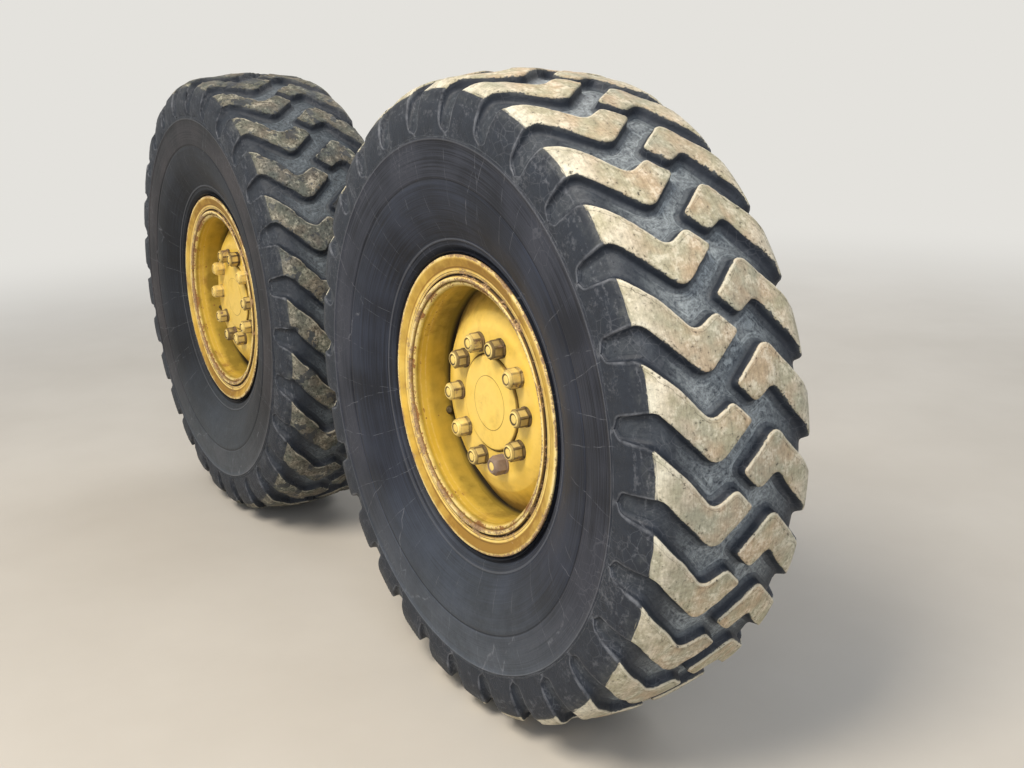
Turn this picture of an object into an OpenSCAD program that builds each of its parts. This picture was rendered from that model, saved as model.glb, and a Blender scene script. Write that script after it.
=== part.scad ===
// Right-hand tandem wheel unit of a motor grader: a chain case that rocks on a
// flanged pivot, and two driven wheels with lugged tyres on multi-piece rims.
// +X is the machine's front, +Y points inboard, +Z is up. The origin is the
// centre of the pivot flange's mounting face.

/* [Tandem] */
// Distance between the two wheel axes
wheel_spacing = 1656; // [1580:2:1800]
// Height of the pivot axis above the wheel axes
pivot_rise = 30; // [0:1:60]
// Distance from the pivot flange's face to the case's inner plate
case_stand_off = 150; // [130:1:200]
// Gap between the case and the tyre's inner side
tyre_gap = 54; // [45:1:90]

/* [Chain case] */
// Width of the case over both side plates
case_w = 215; // [190:1:260]
// Height of the case at its middle
case_h = 620; // [560:2:680]
// Radius of the case's round ends
case_end_r = 215; // [205:1:235]
// Length of the case's level middle
case_level_l = 600; // [520:4:700]
// Thickness of the outer side plate
outer_plate_t = 20; // [16:1:26]
// Thickness of the inner side plate
inner_plate_t = 22; // [16:1:28]
// Thickness of the plate that closes the case all round
wrapper_t = 16; // [12:1:20]
// Distance that the side plates stand out past the wrapper
plate_lip = 12; // [8:1:16]

/* [Pivot] */
// Radius of the pivot sleeve that the case rocks on
sleeve_r = 200; // [180:1:220]
// Radius of the drive shaft's bore through the pivot
shaft_bore_r = 95; // [80:1:110]
// Radius of the pivot's mounting flange
pivot_flange_r = 305; // [298:1:330]
// Thickness of the pivot's mounting flange
pivot_flange_t = 38; // [30:1:44]
// Pitch circle diameter of the flange's bolt holes
flange_pcd = 540; // [528:1:552]
// Number of bolt holes in the flange
flange_bolts = 20; // [12:2:24]
// Radius of each bolt hole in the flange
flange_hole_r = 13.5; // [11:0.5:15]
// Radius of the pilot that centres the flange
pilot_r = 205; // [200:1:225]
// Height of the pilot
pilot_h = 12; // [8:1:20]

/* [Rim] */
// Radius of the bead seats, a 24 inch rim
seat_r = 304.8; // [303.8:0.1:305.8]
// Width between the rim's flanges, 11.25 inch
rim_w = 286; // [270:1:300]
// Radius of the rim's flanges
rim_flange_r = 346.5; // [342:0.5:350]
// Thickness of a flange, measured along the axle
flange_roll = 14.3; // [12:0.1:17]
// Inside radius of the rim's barrel
barrel_r = 275; // [270:0.5:278]
// Wall of the barrel
barrel_t = 12; // [10:0.5:13]
// Width of the loose side ring
side_ring_w = 70; // [60:1:90]
// Width of the slot where the lock ring is split
lock_ring_split = 9; // [4:1:16]

/* [Wheel disc and hub] */
// Depth of the disc's flat behind the rim's outer plane
disc_depth = 62; // [52:1:72]
// Depth at which the disc meets the barrel
disc_foot_depth = 120; // [106:1:128]
// Thickness of the disc
disc_t = 16; // [12:1:18]
// Radius of the disc's flat
disc_flat_r = 205; // [195:1:212]
// Pitch circle diameter of the wheel studs
stud_pcd = 285.75; // [280:0.25:292]
// Number of wheel studs
stud_n = 10; // [8:2:12]
// Radius of a stud
stud_r = 11; // [9:0.5:12]
// Width across the flats of a wheel nut
nut_af = 38; // [34:1:42]
// Height of a wheel nut with its washer face
nut_h = 35; // [28:1:38]
// Radius of the hub's pilot in the disc
hub_pilot_r = 113; // [105:1:115]
// Radius of the spindle that the hub turns on
spindle_r = 90; // [70:1:94]
// Radius of the brake housing inside the rim
brake_r = 238; // [225:1:250]

/* [Tyre] */
// Radius of the tyre over its lugs
tyre_r = 742; // [736:1:760]
// Width of the tyre's section
tyre_w = 420; // [410:1:440]
// Depth of the tread between the lugs
tread_depth = 26; // [20:1:32]
// Thickness of the sidewall
sidewall_t = 30; // [24:1:36]
// Number of lugs in each half row
lug_n = 28; // [24:1:32]
// Angle of the front tyre's first lug, above the level towards the machine's front
front_lug_a = 24.6; // [0:0.1:30]
// The same angle on the rear tyre
rear_lug_a = 26.4; // [0:0.1:30]

/* [Hidden] */
$fn = 96;
// Running clearance of a shaft in its bore, and seat clearance between fixed rings
play = 0.3;
seat_gap = 0.25;

axle_x = wheel_spacing / 2;
axle_z = -pivot_rise;

// Planes along Y, from the pivot's face to the wheel's outer side
inner_plate_y = -case_stand_off;
outer_plate_y = inner_plate_y - case_w;
tyre_mid_y = outer_plate_y - tyre_gap - tyre_w / 2;
rim_depth = rim_w + 2 * flange_roll;
rim_y = tyre_mid_y - rim_depth / 2;
// Depth of the case's outer face behind the rim's outer plane
case_depth = outer_plate_y - rim_y;

YELLOW = "#d8ab3c";
RUBBER = "#3a3d44";
STEEL = "#7d7a72";

END_NAMES = ["front", "rear"];

// Outline helpers: a corner rounded to a radius, and an outline whose points are [x, y, radius]
function unit(v) = v / norm(v);
function rounded_corner(a, p, b, r, n) =
    let (u = unit(a - p), v = unit(b - p), half = acos(u * v) / 2)
    let (c = p + unit(u + v) * r / sin(half))
    let (s = p + u * r / tan(half) - c, e = p + v * r / tan(half) - c)
    let (from = atan2(s.y, s.x), turn = (atan2(e.y, e.x) - from + 540) % 360 - 180)
    [for (i = [0 : n]) c + r * [cos(from + turn * i / n), sin(from + turn * i / n)]];
function xy(p) = [p[0], p[1]];
function outline(pts, n = 4) =
    let (m = len(pts))
    [for (i = [0 : m - 1])
        each pts[i][2] > 0
            ? rounded_corner(xy(pts[(i + m - 1) % m]), xy(pts[i]), xy(pts[(i + 1) % m]), pts[i][2], n)
            : [xy(pts[i])]];

// A place on a wheel axis: local Z runs inboard from the rim's outer plane
module on_axle(end) {
    side = end == "front" ? 1 : -1;
    translate([side * axle_x, rim_y, axle_z]) rotate([-90, 0, 0]) children();
}

// A place on the pivot axis: local Z is the row's Y
module on_pivot() {
    rotate([-90, 0, 0]) children();
}

// A ring turned about local Z from an outline of [radius, depth, corner radius]
module turned(section, n = 4) {
    rotate_extrude() polygon(outline(section, n));
}

module ring_of(count, pcd) {
    for (i = [0 : count - 1]) rotate(i * 360 / count) translate([pcd / 2, 0, 0]) children();
}

// Side view of the case: level middle, tapering to round ends about the wheel axes
function case_taper(h, r) =
    let (run = axle_x - case_level_l / 2) acos(r / norm([run, h])) - atan2(run, h);
module case_outline(inset) {
    h = case_h / 2 - inset;
    r = case_end_r - inset;
    taper = case_taper(h, r);
    steps = 12;
    half_end = [for (i = [0 : steps])
        let (a = 90 - taper - i * 2 * (90 - taper) / steps) [axle_x + r * cos(a), r * sin(a)]];
    bend = 60;
    translate([0, axle_z]) polygon(outline(concat(
        [[-case_level_l / 2, h, bend], [case_level_l / 2, h, bend]],
        [for (p = half_end) [p.x, p.y, 0]],
        [[case_level_l / 2, -h, bend], [-case_level_l / 2, -h, bend]],
        [for (p = half_end) [-p.x, -p.y, 0]])));
}

// A plate that stands in the XZ plane, from y to y + t
module standing(y, t) {
    translate([0, y + t, 0]) rotate([90, 0, 0]) linear_extrude(t) children();
}

// Pivot housing: mounting flange, pilot, and the sleeve that the case rocks on
sleeve_end_y = inner_plate_y - inner_plate_t - 34;
module pivot_housing() {
    neck = 44;
    color(YELLOW) on_pivot() difference() {
        turned([
            [shaft_bore_r, pilot_h, 0], [pilot_r, pilot_h, 0], [pilot_r, 0, 0],
            [pivot_flange_r, 0, 3], [pivot_flange_r, -pivot_flange_t, 4],
            [sleeve_r + neck, -pivot_flange_t, 8], [sleeve_r, -pivot_flange_t - 14, 0],
            [sleeve_r, sleeve_end_y, 3], [shaft_bore_r, sleeve_end_y, 0]]);
        ring_of(flange_bolts, flange_pcd)
            translate([0, 0, -pivot_flange_t - 1]) cylinder(r = flange_hole_r, h = pivot_flange_t + 2);
    }
}

// Collar bolted on the case's inner plate, with the bush that runs on the sleeve
collar_wall = 46;
collar_flange_w = 92;
collar_flange_t = 32;
module pivot_collar() {
    top_y = -pivot_flange_t - 24;
    in_r = sleeve_r + play;
    color(YELLOW) on_pivot() turned([
        [in_r, top_y, 0], [in_r + collar_wall, top_y, 8],
        [in_r + collar_wall, inner_plate_y + collar_flange_t, 6],
        [in_r + collar_flange_w, inner_plate_y + collar_flange_t, 4],
        [in_r + collar_flange_w, inner_plate_y, 0], [in_r, inner_plate_y, 0]]);
}

module case_inner_plate() {
    color(YELLOW) standing(inner_plate_y - inner_plate_t, inner_plate_t) difference() {
        case_outline(0);
        circle(r = sleeve_r + play);
    }
}

cover_r = 190;
cover_port_r = 160;
module case_outer_plate() {
    color(YELLOW) standing(outer_plate_y, outer_plate_t) difference() {
        case_outline(0);
        circle(r = cover_port_r);
        for (side = [-1, 1]) translate([side * axle_x, axle_z]) circle(r = spindle_port_r);
    }
}

module case_wrapper() {
    color(YELLOW) standing(outer_plate_y + outer_plate_t, case_w - outer_plate_t - inner_plate_t)
        difference() {
            case_outline(plate_lip);
            case_outline(plate_lip + wrapper_t);
        }
}

// Round access cover over the drive sprocket, on the outer plate
cover_t = 14;
module centre_cover() {
    color(YELLOW) on_pivot() turned([
        [0, outer_plate_y + 10, 0], [cover_port_r - 1, outer_plate_y + 10, 0],
        [cover_port_r - 1, outer_plate_y, 0],
        [cover_r, outer_plate_y, 0], [cover_r, outer_plate_y - cover_t, 3],
        [cover_r - 44, outer_plate_y - cover_t, 0], [cover_r - 56, outer_plate_y - cover_t - 8, 4],
        [0, outer_plate_y - cover_t - 8, 0]]);
}

// Flanged chain inspection covers on the two slopes of the case's top
top_cover_l = 300;
top_cover_t = 12;
module top_cover(end) {
    side = end == "front" ? 1 : -1;
    h = case_h / 2 - plate_lip;
    r = case_end_r - plate_lip;
    taper = case_taper(h, r);
    run = axle_x - case_level_l / 2;
    w = case_w - outer_plate_t - inner_plate_t - 30;
    mid_y = outer_plate_y + outer_plate_t + w / 2 + 15;
    color(YELLOW) translate([side * case_level_l / 2, mid_y, axle_z + h])
        rotate([0, side * taper, 0]) translate([side * run * 0.5, 0, 0]) {
            linear_extrude(top_cover_t) square([top_cover_l, w], center = true);
            linear_extrude(top_cover_t + 8) square([top_cover_l - 70, w - 60], center = true);
        }
}

// Oil filler: a neck with a hexagon cap on the case's level top
filler_x = 170;
module filler_neck() {
    color(STEEL) translate([filler_x, outer_plate_y + case_w / 2, axle_z + case_h / 2 - plate_lip]) {
        cylinder(r = 26, h = 30);
        translate([0, 0, 30]) cylinder(r = 31, h = 8);
        translate([0, 0, 38]) cylinder(r = 20, h = 18, $fn = 6);
    }
}

// Hexagon drain plugs under the case's two slopes, square to the plate
module drain_plug(end) {
    side = end == "front" ? 1 : -1;
    r = case_end_r - plate_lip;
    taper = case_taper(case_h / 2 - plate_lip, r);
    color(STEEL) translate([side * axle_x, outer_plate_y + case_w / 2, axle_z])
        rotate([0, -side * taper, 0]) translate([-side * 60, 0, -r]) {
            translate([0, 0, -6]) cylinder(r = 22, h = 6);
            translate([0, 0, -18]) cylinder(r = 17, h = 12, $fn = 6);
        }
}

// A round pipe along a list of points in an upright plane, with a round elbow fitting at each corner
module pipe(points, r) {
    for (i = [0 : len(points) - 2]) {
        run = points[i + 1] - points[i];
        translate(points[i]) rotate([0, acos(run.z / norm(run)), atan2(run.y, run.x)])
            cylinder(r = r, h = norm(run), $fn = 24);
        if (i > 0) translate(points[i]) rotate([90, 0, 0])
            cylinder(r = r + 4, h = 2 * (r + 2), center = true, $fn = 24);
    }
}

// Brake pipe from a block beside the centre cover to the union on the spindle flange's edge
pipe_r = 6;
pipe_off = 16;
union_r = 10;
union_l = 24;
union_a = 40;
module brake_pipe(end) {
    side = end == "front" ? 1 : -1;
    y = outer_plate_y - pipe_off;
    out = [-side * cos(union_a), 0, sin(union_a)];
    hub_point = [side * axle_x, y, axle_z];
    start = [side * 150, y, axle_z + case_h / 2 - 70];
    bend = [side * (case_level_l / 2 + 40), y, axle_z + case_h / 2 - 84];
    union_top = hub_point + (spindle_flange_r + union_l) * out;
    clip = 20;
    color(STEEL) {
        pipe([start, bend, union_top, hub_point + (spindle_flange_r + 4) * out], pipe_r);
        // Hexagon union whose end seats on the flange's edge
        translate(hub_point + (spindle_flange_r + play) * out)
            rotate([0, -side * (90 - union_a), 0]) cylinder(r = union_r, h = union_l - 6, $fn = 6);
        // Block with the supply's union, bolted to the plate
        translate(start - [20, 12, 20]) cube([40, pipe_off + 12, 40]);
        // Clips that hold the pipe to the plate
        for (f = [0.4, 0.85]) translate(start + f * (bend - start) - [1, 1, 1] * clip / 2)
            cube([clip, pipe_off + clip / 2, clip]);
        for (f = [0.3, 0.7]) translate(bend + f * (union_top - bend) - [1, 1, 1] * clip / 2)
            cube([clip, pipe_off + clip / 2, clip]);
    }
}

// Spindle housing bolted on the outer plate: flange, brake housing and spindle
spindle_port_r = 150;
spindle_flange_r = 228;
spindle_flange_t = 28;
brake_outer_depth = 222;
spindle_end_depth = 130;
module spindle_housing(end) {
    neck_r = 176;
    brake_l = 118;
    color(YELLOW) on_axle(end) turned([
        [0, case_depth + 12, 0], [spindle_port_r - 1, case_depth + 12, 0],
        [spindle_port_r - 1, case_depth, 0],
        [spindle_flange_r, case_depth, 0], [spindle_flange_r, case_depth - spindle_flange_t, 4],
        [neck_r, case_depth - spindle_flange_t, 8],
        [neck_r, brake_outer_depth + brake_l + 14, 6],
        [brake_r, brake_outer_depth + brake_l, 8], [brake_r, brake_outer_depth, 12],
        [spindle_r + 46, brake_outer_depth, 0], [spindle_r + 46, hub_back_depth + 6, 3],
        [spindle_r, hub_back_depth + 6, 0], [spindle_r, spindle_end_depth, 2],
        [0, spindle_end_depth, 0]]);
}

// Hub: pilot through the disc, flange behind it, and a barrel that turns on the spindle
hub_back_depth = 196;
hub_flange_t = 30;
hub_proud = 8;
module hub(end) {
    seat = disc_depth + disc_t;
    bore_r = spindle_r + play;
    flange_r = stud_pcd / 2 + stud_r + 22;
    color(YELLOW) on_axle(end) difference() {
        turned([
            [0, disc_depth - hub_proud, 0], [64, disc_depth - hub_proud, 1],
            [hub_pilot_r - 4, disc_depth - hub_proud + 4, 2], [hub_pilot_r, disc_depth - 1, 2],
            [hub_pilot_r, seat, 0], [flange_r, seat, 0],
            [flange_r, seat + hub_flange_t, 4],
            [bore_r + 34, seat + hub_flange_t, 8], [bore_r + 34, hub_back_depth, 3],
            [bore_r, hub_back_depth, 0], [bore_r, spindle_end_depth - 6, 0],
            [0, spindle_end_depth - 6, 0]]);
        ring_of(stud_n, stud_pcd)
            translate([0, 0, seat - 1]) cylinder(r = stud_r + play, h = hub_flange_t + 2, $fn = 32);
    }
}

// Wheel disc: dished plate with a flat for the nuts, welded into the barrel
module wheel_disc(end) {
    hole_r = hub_pilot_r + 1.5;
    foot_r = barrel_r - seat_gap;
    edge = disc_depth + 12;
    color(YELLOW) on_axle(end) difference() {
        turned([
            [hole_r, disc_depth, 2], [disc_flat_r - 24, disc_depth, 30], [disc_flat_r + 6, edge, 8],
            [foot_r, disc_foot_depth, 0], [foot_r, disc_foot_depth + disc_t + 2, 0],
            [disc_flat_r + 2, edge + disc_t, 10], [disc_flat_r - 22, disc_depth + disc_t, 8],
            [hole_r, disc_depth + disc_t, 2]]);
        ring_of(stud_n, stud_pcd)
            translate([0, 0, disc_depth - 1]) cylinder(r = stud_r + 0.8, h = disc_t + 2, $fn = 32);
    }
}

// Rim base: barrel with the fixed inboard flange, and the gutter for the lock ring
gutter_r = barrel_r + 8;
gutter_lip_r = gutter_r + 3.5;
base_seat_r = gutter_r + 8.5;
gutter_from = 15;
gutter_to = 25.2;
// Fillet between a bead seat and its flange
seat_fillet = 8;
module rim_base(end) {
    out_r = barrel_r + barrel_t;
    far = rim_depth;
    color(YELLOW) on_axle(end) turned([
        [barrel_r, 26, 0], [barrel_r - 1, 15, 3], [barrel_r + 5, 9.5, 3], [gutter_lip_r, 9, 1],
        [gutter_lip_r, 13.5, 1], [gutter_r, gutter_from, 1], [gutter_r, gutter_to, 1],
        [base_seat_r, gutter_to, 1], [base_seat_r, side_ring_w + 6, 3],
        [out_r, side_ring_w + 14, 6],
        [out_r, far - 74, 8], [seat_r - 3, far - 60, 4], [seat_r, far - flange_roll, seat_fillet],
        [seat_r + 22, far - flange_roll, 12], [rim_flange_r, far - 7, 4],
        [rim_flange_r, far, 2], [rim_flange_r - 10, far, 5], [seat_r + 10, far - 7, 10],
        [out_r + 2, far - 2, 4], [barrel_r + 2, far - 4, 3], [barrel_r, far - 14, 0]]);
}

// Side ring: the loose outboard flange with its bead seat and the wedge for the lock ring
wedge_r = 300;
wedge_from = 13;
module side_ring(end) {
    color(YELLOW) on_axle(end) turned([
        [base_seat_r + seat_gap, gutter_to, 1], [base_seat_r + seat_gap, side_ring_w, 2],
        [seat_r - 4, side_ring_w, 2], [seat_r, flange_roll, seat_fillet], [seat_r + 22, flange_roll, 12],
        [rim_flange_r, 7, 4], [rim_flange_r, 0, 2], [rim_flange_r - 10, 0, 5],
        [rim_flange_r - 25, 5, 8], [rim_flange_r - 33, 6, 2], [wedge_r + 2, 9, 1],
        [wedge_r, wedge_from, 1]]);
}

// Lock ring: split steel ring that wedges the side ring against the gutter
module lock_ring(end) {
    split_a = end == "front" ? 169 : 168;
    color(YELLOW) on_axle(end) difference() {
        turned([
            [gutter_lip_r + 0.6, 5, 2], [gutter_lip_r + 6, 2.5, 3], [wedge_r - 0.8, 4.5, 2],
            [wedge_r - 0.3, wedge_from - 0.3, 1], [base_seat_r, gutter_to - 0.4, 0],
            [gutter_r + seat_gap, gutter_to - 0.4, 1], [gutter_r + seat_gap, gutter_from + 0.4, 1],
            [gutter_lip_r + 0.6, gutter_from - 1, 1]]);
        rotate(-split_a) translate([gutter_r - 4, -lock_ring_split / 2, 0])
            cube([wedge_r - gutter_r + 8, lock_ring_split, 40]);
    }
}

// Wheel nuts: hexagon nuts with washer faces, chamfered round at the end, each on its stud
washer_h = 5;
nut_chamfer = 4;
module wheel_nuts(end) {
    corner_r = nut_af / 2 / cos(30);
    color(YELLOW) on_axle(end) ring_of(stud_n, stud_pcd) {
        translate([0, 0, disc_depth - washer_h]) cylinder(r = corner_r + 3.5, h = washer_h, $fn = 48);
        translate([0, 0, disc_depth - nut_h]) difference() {
            intersection() {
                cylinder(r = corner_r, h = nut_h, $fn = 6);
                cylinder(r1 = corner_r - nut_chamfer, r2 = corner_r - nut_chamfer + nut_h * 2, h = nut_h);
            }
            translate([0, 0, -1]) cylinder(r = stud_r, h = nut_h + 2, $fn = 32);
        }
        translate([0, 0, disc_depth - nut_h + 2])
            cylinder(r = stud_r, h = nut_h - 2 + disc_t + hub_flange_t + 4, $fn = 32);
    }
}

// Tyre valve: a stem that comes through the barrel and leans out in front of the disc
valve_a = 198;
valve_r = 5;
valve_cap_r = 7;
module valve(end) {
    rise = 16;
    lean = 45;
    color(STEEL) on_axle(end) rotate(-valve_a)
        translate([barrel_r - 2 * seat_gap, 0, disc_foot_depth - 22]) rotate([0, -90, 0]) {
            cylinder(r = 11, h = 5, $fn = 24);
            cylinder(r = valve_r, h = rise, $fn = 24);
            translate([0, 0, rise]) sphere(r = valve_r + 0.8, $fn = 24);
            translate([0, 0, rise]) rotate([0, -lean, 0]) {
                cylinder(r = valve_r, h = 20, $fn = 24);
                translate([0, 0, 12]) cylinder(r = valve_cap_r, h = 18, $fn = 24);
            }
        }
}

// Tyre: half section as [radius, distance from the mid plane], from the bead up to the crown
half_w = tyre_w / 2;
bead_half = rim_w / 2 - seat_gap;
bead_l = 28;
lug_foot_share = 0.645;
function up(share) = rim_flange_r + share * (tyre_r - rim_flange_r);
function tyre_side() = [
    [seat_r + seat_gap, bead_half - seat_fillet], [seat_r + seat_gap + seat_fillet, bead_half],
    [seat_r + 22, bead_half], [rim_flange_r, bead_half + 7.2],
    [rim_flange_r + 1.5, bead_half + 13], [rim_flange_r + 6, bead_half + 16],
    [up(0.078), bead_half + 17], [up(0.152), half_w - 34], [up(0.283), half_w - 12],
    [up(0.425), half_w - 4], [up(0.541), half_w], [up(lug_foot_share), half_w - 1]];
// Upper part of the section, with the tread lowered by drop between the lugs
function tyre_tread(drop) = [
    [up(0.785) - drop * 0.3, half_w - drop * 0.35], [up(0.886) - drop * 0.6, half_w - 12 - drop * 0.5],
    [up(0.937) - drop * 0.8, half_w - 32 - drop * 0.4], [up(0.975) - drop, half_w * 0.5],
    [up(0.994) - drop, half_w * 0.24]];
function tyre_inside() =
    let (crown = tyre_r - tread_depth - 44)
    [[crown, half_w * 0.3], [crown - 16, half_w * 0.63], [crown - 56, half_w - sidewall_t - 18],
        [up(0.541), half_w - sidewall_t], [up(0.283), half_w - sidewall_t - 14],
        [up(0.126), half_w - sidewall_t - 56], [seat_r + 20, bead_half - bead_l + 2],
        [seat_r + seat_gap, bead_half - bead_l]];
module tyre_body(drop) {
    side = concat(tyre_side(), tyre_tread(drop));
    inside = tyre_inside();
    far_side = [for (i = [len(side) - 1 : -1 : 0]) [side[i].x, -side[i].y]];
    far_inside = [for (i = [len(inside) - 1 : -1 : 0]) [inside[i].x, -inside[i].y]];
    translate([0, 0, rim_depth / 2])
        rotate_extrude() polygon(concat(side, [[tyre_r - drop, 0]], far_side, far_inside, inside));
}

// One lug of a half row: a knee-shaped block whose end runs down the shoulder. The outline goes up
// the leading side and back down the trailing side. Its columns are the share of the pitch along
// the tread and the share of the half width across it.
LUG_OUTLINE = [
    [-0.06, -1.05], [-0.07, -0.90], [0.19, -0.71], [0.48, -0.48], [0.62, -0.38], [0.62, -0.30],
    [0.24, 0.04], [0.18, 0.05],
    [-0.03, -0.13], [0.13, -0.34], [0.10, -0.42], [-0.26, -0.64], [-0.57, -0.90], [-0.64, -1.05]];
module lug_block() {
    pitch = 2 * PI * tyre_r / lug_n;
    foot_r = up(lug_foot_share);
    rotate([90, 0, 90]) translate([0, 0, foot_r]) linear_extrude(tyre_r - foot_r + 10)
        polygon([for (p = LUG_OUTLINE) [p.x * pitch, p.y * half_w]]);
}

// Lugged tyre: the two half rows are one block turned half round, so that they interlock
module tyre(end) {
    start_a = end == "front" ? front_lug_a : rear_lug_a;
    color(RUBBER) on_axle(end) union() {
        tyre_body(tread_depth);
        intersection() {
            tyre_body(0);
            for (i = [0 : lug_n - 1]) rotate(-start_a - i * 360 / lug_n)
                translate([0, 0, rim_depth / 2]) {
                    lug_block();
                    rotate([180, 0, 0]) lug_block();
                }
        }
    }
}

pivot_housing();
pivot_collar();
case_inner_plate();
case_outer_plate();
case_wrapper();
centre_cover();
filler_neck();
for (end = END_NAMES) {
    top_cover(end);
    drain_plug(end);
    brake_pipe(end);
    spindle_housing(end);
    hub(end);
    wheel_disc(end);
    rim_base(end);
    side_ring(end);
    lock_ring(end);
    wheel_nuts(end);
    valve(end);
    tyre(end);
}
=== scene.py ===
import math
from functools import partial

import bmesh
import bpy
import numpy as np
from mathutils import Matrix, Vector
from mathutils.geometry import delaunay_2d_cdt


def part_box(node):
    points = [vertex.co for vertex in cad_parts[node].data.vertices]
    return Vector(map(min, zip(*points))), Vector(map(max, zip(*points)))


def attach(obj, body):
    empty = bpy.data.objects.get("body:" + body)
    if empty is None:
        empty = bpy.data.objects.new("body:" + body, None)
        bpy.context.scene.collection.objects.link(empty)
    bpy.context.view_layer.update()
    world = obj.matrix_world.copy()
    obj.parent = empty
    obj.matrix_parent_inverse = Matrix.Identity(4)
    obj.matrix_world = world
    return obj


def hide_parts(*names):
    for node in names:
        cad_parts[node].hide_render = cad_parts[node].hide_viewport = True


# Right-hand tandem wheel unit of a motor grader: a chain case that rocks on a flanged
# pivot, and two driven wheels with worn, lugged tyres on multi-piece rims.
# Everything is in metres in the part's frame: +X front, +Y inboard, +Z up.
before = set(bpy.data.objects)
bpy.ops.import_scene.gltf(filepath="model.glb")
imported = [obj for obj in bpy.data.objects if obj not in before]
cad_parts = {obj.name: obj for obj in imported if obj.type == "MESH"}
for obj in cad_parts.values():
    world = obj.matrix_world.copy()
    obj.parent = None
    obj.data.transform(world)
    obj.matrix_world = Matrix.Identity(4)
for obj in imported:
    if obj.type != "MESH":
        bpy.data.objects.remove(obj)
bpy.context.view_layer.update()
scene = bpy.context.scene
scene.view_settings.view_transform = "Standard"
MM = 0.001


# The view. The camera stands ahead of the front wheel, a little above the hubs, and looks
# back along the unit's outer side. Its place was solved from the rims' flanges.
CAMERA_AT = Vector((3.0747, -2.0967, 0.7231))
CAMERA_YAW = math.radians(57.556)
CAMERA_PITCH = math.radians(15.10)
CAMERA_ROLL = math.radians(-1.4075)
CAMERA_LENS = 41.92

ahead = Vector((-math.sin(CAMERA_YAW) * math.cos(CAMERA_PITCH),
                math.cos(CAMERA_YAW) * math.cos(CAMERA_PITCH),
                -math.sin(CAMERA_PITCH)))
level_right = ahead.cross(Vector((0, 0, 1))).normalized()
level_up = level_right.cross(ahead)
view_right = level_right * math.cos(CAMERA_ROLL) + level_up * math.sin(CAMERA_ROLL)
view_up = level_up * math.cos(CAMERA_ROLL) - level_right * math.sin(CAMERA_ROLL)
camera = bpy.data.objects.new("camera", bpy.data.cameras.new("camera"))
camera.data.lens = CAMERA_LENS
camera.data.sensor_width = 36
camera.data.clip_end = 200
camera.matrix_world = Matrix.Translation(CAMERA_AT) @ Matrix(
    (view_right, view_up, -ahead)).transposed().to_4x4()
scene.collection.objects.link(camera)
scene.camera = camera


# The floor and the light: a pale cement floor under the tyres, open soft light from above
# and from the unit's outer side, and a pale backdrop that only the camera sees.
FLOOR_COLOUR = "#bab4aa"
FLOOR_PALE = "#cdc8bf"
BACKDROP_COLOUR = "#e4e2dd"
SKY_COLOUR = "#dfe6f0"


def linear(hex_colour):
    """An sRGB hex colour as the linear colour that the shaders take."""
    channels = [int(hex_colour[i:i + 2], 16) / 255 for i in (1, 3, 5)]
    return tuple(c / 12.92 if c <= 0.04045 else ((c + 0.055) / 1.055) ** 2.4 for c in channels) + (1.0,)


def put(tree, kind, *values, out=0, **settings):
    """Adds a node and returns one of its open outputs. A second word in the kind is its operation or
    its kind of data. Values fill or link the open inputs in their order, or in a dict by name."""
    kind, *mode = kind.split()
    homes = ["ShaderNode"]
    if tree.type == "GEOMETRY":
        homes = ["GeometryNode", "FunctionNode", "ShaderNode", ""]
    node = tree.nodes.new(next(home + kind for home in homes if hasattr(bpy.types, home + kind)))
    for name, value in settings.items():
        setattr(node, name, value)
    if mode:
        setattr(node, "data_type" if kind == "Mix" else "operation", mode[0])
    opened = [socket for socket in node.inputs if socket.enabled]
    for i, given in enumerate(values):
        for key, value in given.items() if isinstance(given, dict) else [(i, given)]:
            socket = node.inputs[key] if isinstance(key, str) else opened[key]
            if isinstance(value, bpy.types.NodeSocket):
                tree.links.new(value, socket)
            else:
                socket.default_value = linear(value) if str(value).startswith("#") else value
    opened = [socket for socket in node.outputs if socket.enabled]
    return node.outputs[out] if isinstance(out, str) else opened[out] if opened else node


def new_material(name):
    material = bpy.data.materials.new(name)
    material.use_nodes = True
    material.node_tree.nodes.clear()
    return material, partial(put, material.node_tree)


floor_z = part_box("tyre_front")[0].z
FLOOR_HALF = 40.0
floor_mesh = bpy.data.meshes.new("floor")
floor_mesh.from_pydata([(x * FLOOR_HALF, y * FLOOR_HALF, floor_z) for x, y in (
    (-1, -1), (1, -1), (1, 1), (-1, 1))], [], [(0, 1, 2, 3)])
floor = bpy.data.objects.new("floor", floor_mesh)
scene.collection.objects.link(floor)
floor_paint, add = new_material("floated cement floor")
place = add("TexCoord", out=3)
grain = add("TexNoise", place, 1.4, 6, 0.6)
shade = add("Mix RGBA", grain, FLOOR_COLOUR, FLOOR_PALE)
surface = add("BsdfPrincipled", {"Base Color": shade, "Roughness": 0.9})
# Far from the unit the floor passes into the backdrop
far_off = add("MapRange", add("VectorMath LENGTH", place), 2.2, 8.0, interpolation_type="SMOOTHERSTEP")
beyond = add("Emission", BACKDROP_COLOUR)
surface = add("MixShader", far_off, surface, beyond)
add("OutputMaterial", surface)
floor.data.materials.append(floor_paint)

world = bpy.data.worlds.new("open sky")
scene.world = world
world.use_nodes = True
world.node_tree.nodes.clear()
add = partial(put, world.node_tree)
seen = add("LightPath", out=0)
glossy = add("LightPath", out=3)
plain = add("Math MAXIMUM", seen, glossy)
soft = add("Background", SKY_COLOUR, 0.5)
backdrop = add("Background", BACKDROP_COLOUR, 1.0)
add("OutputWorld", add("MixShader", plain, soft, backdrop))


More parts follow.
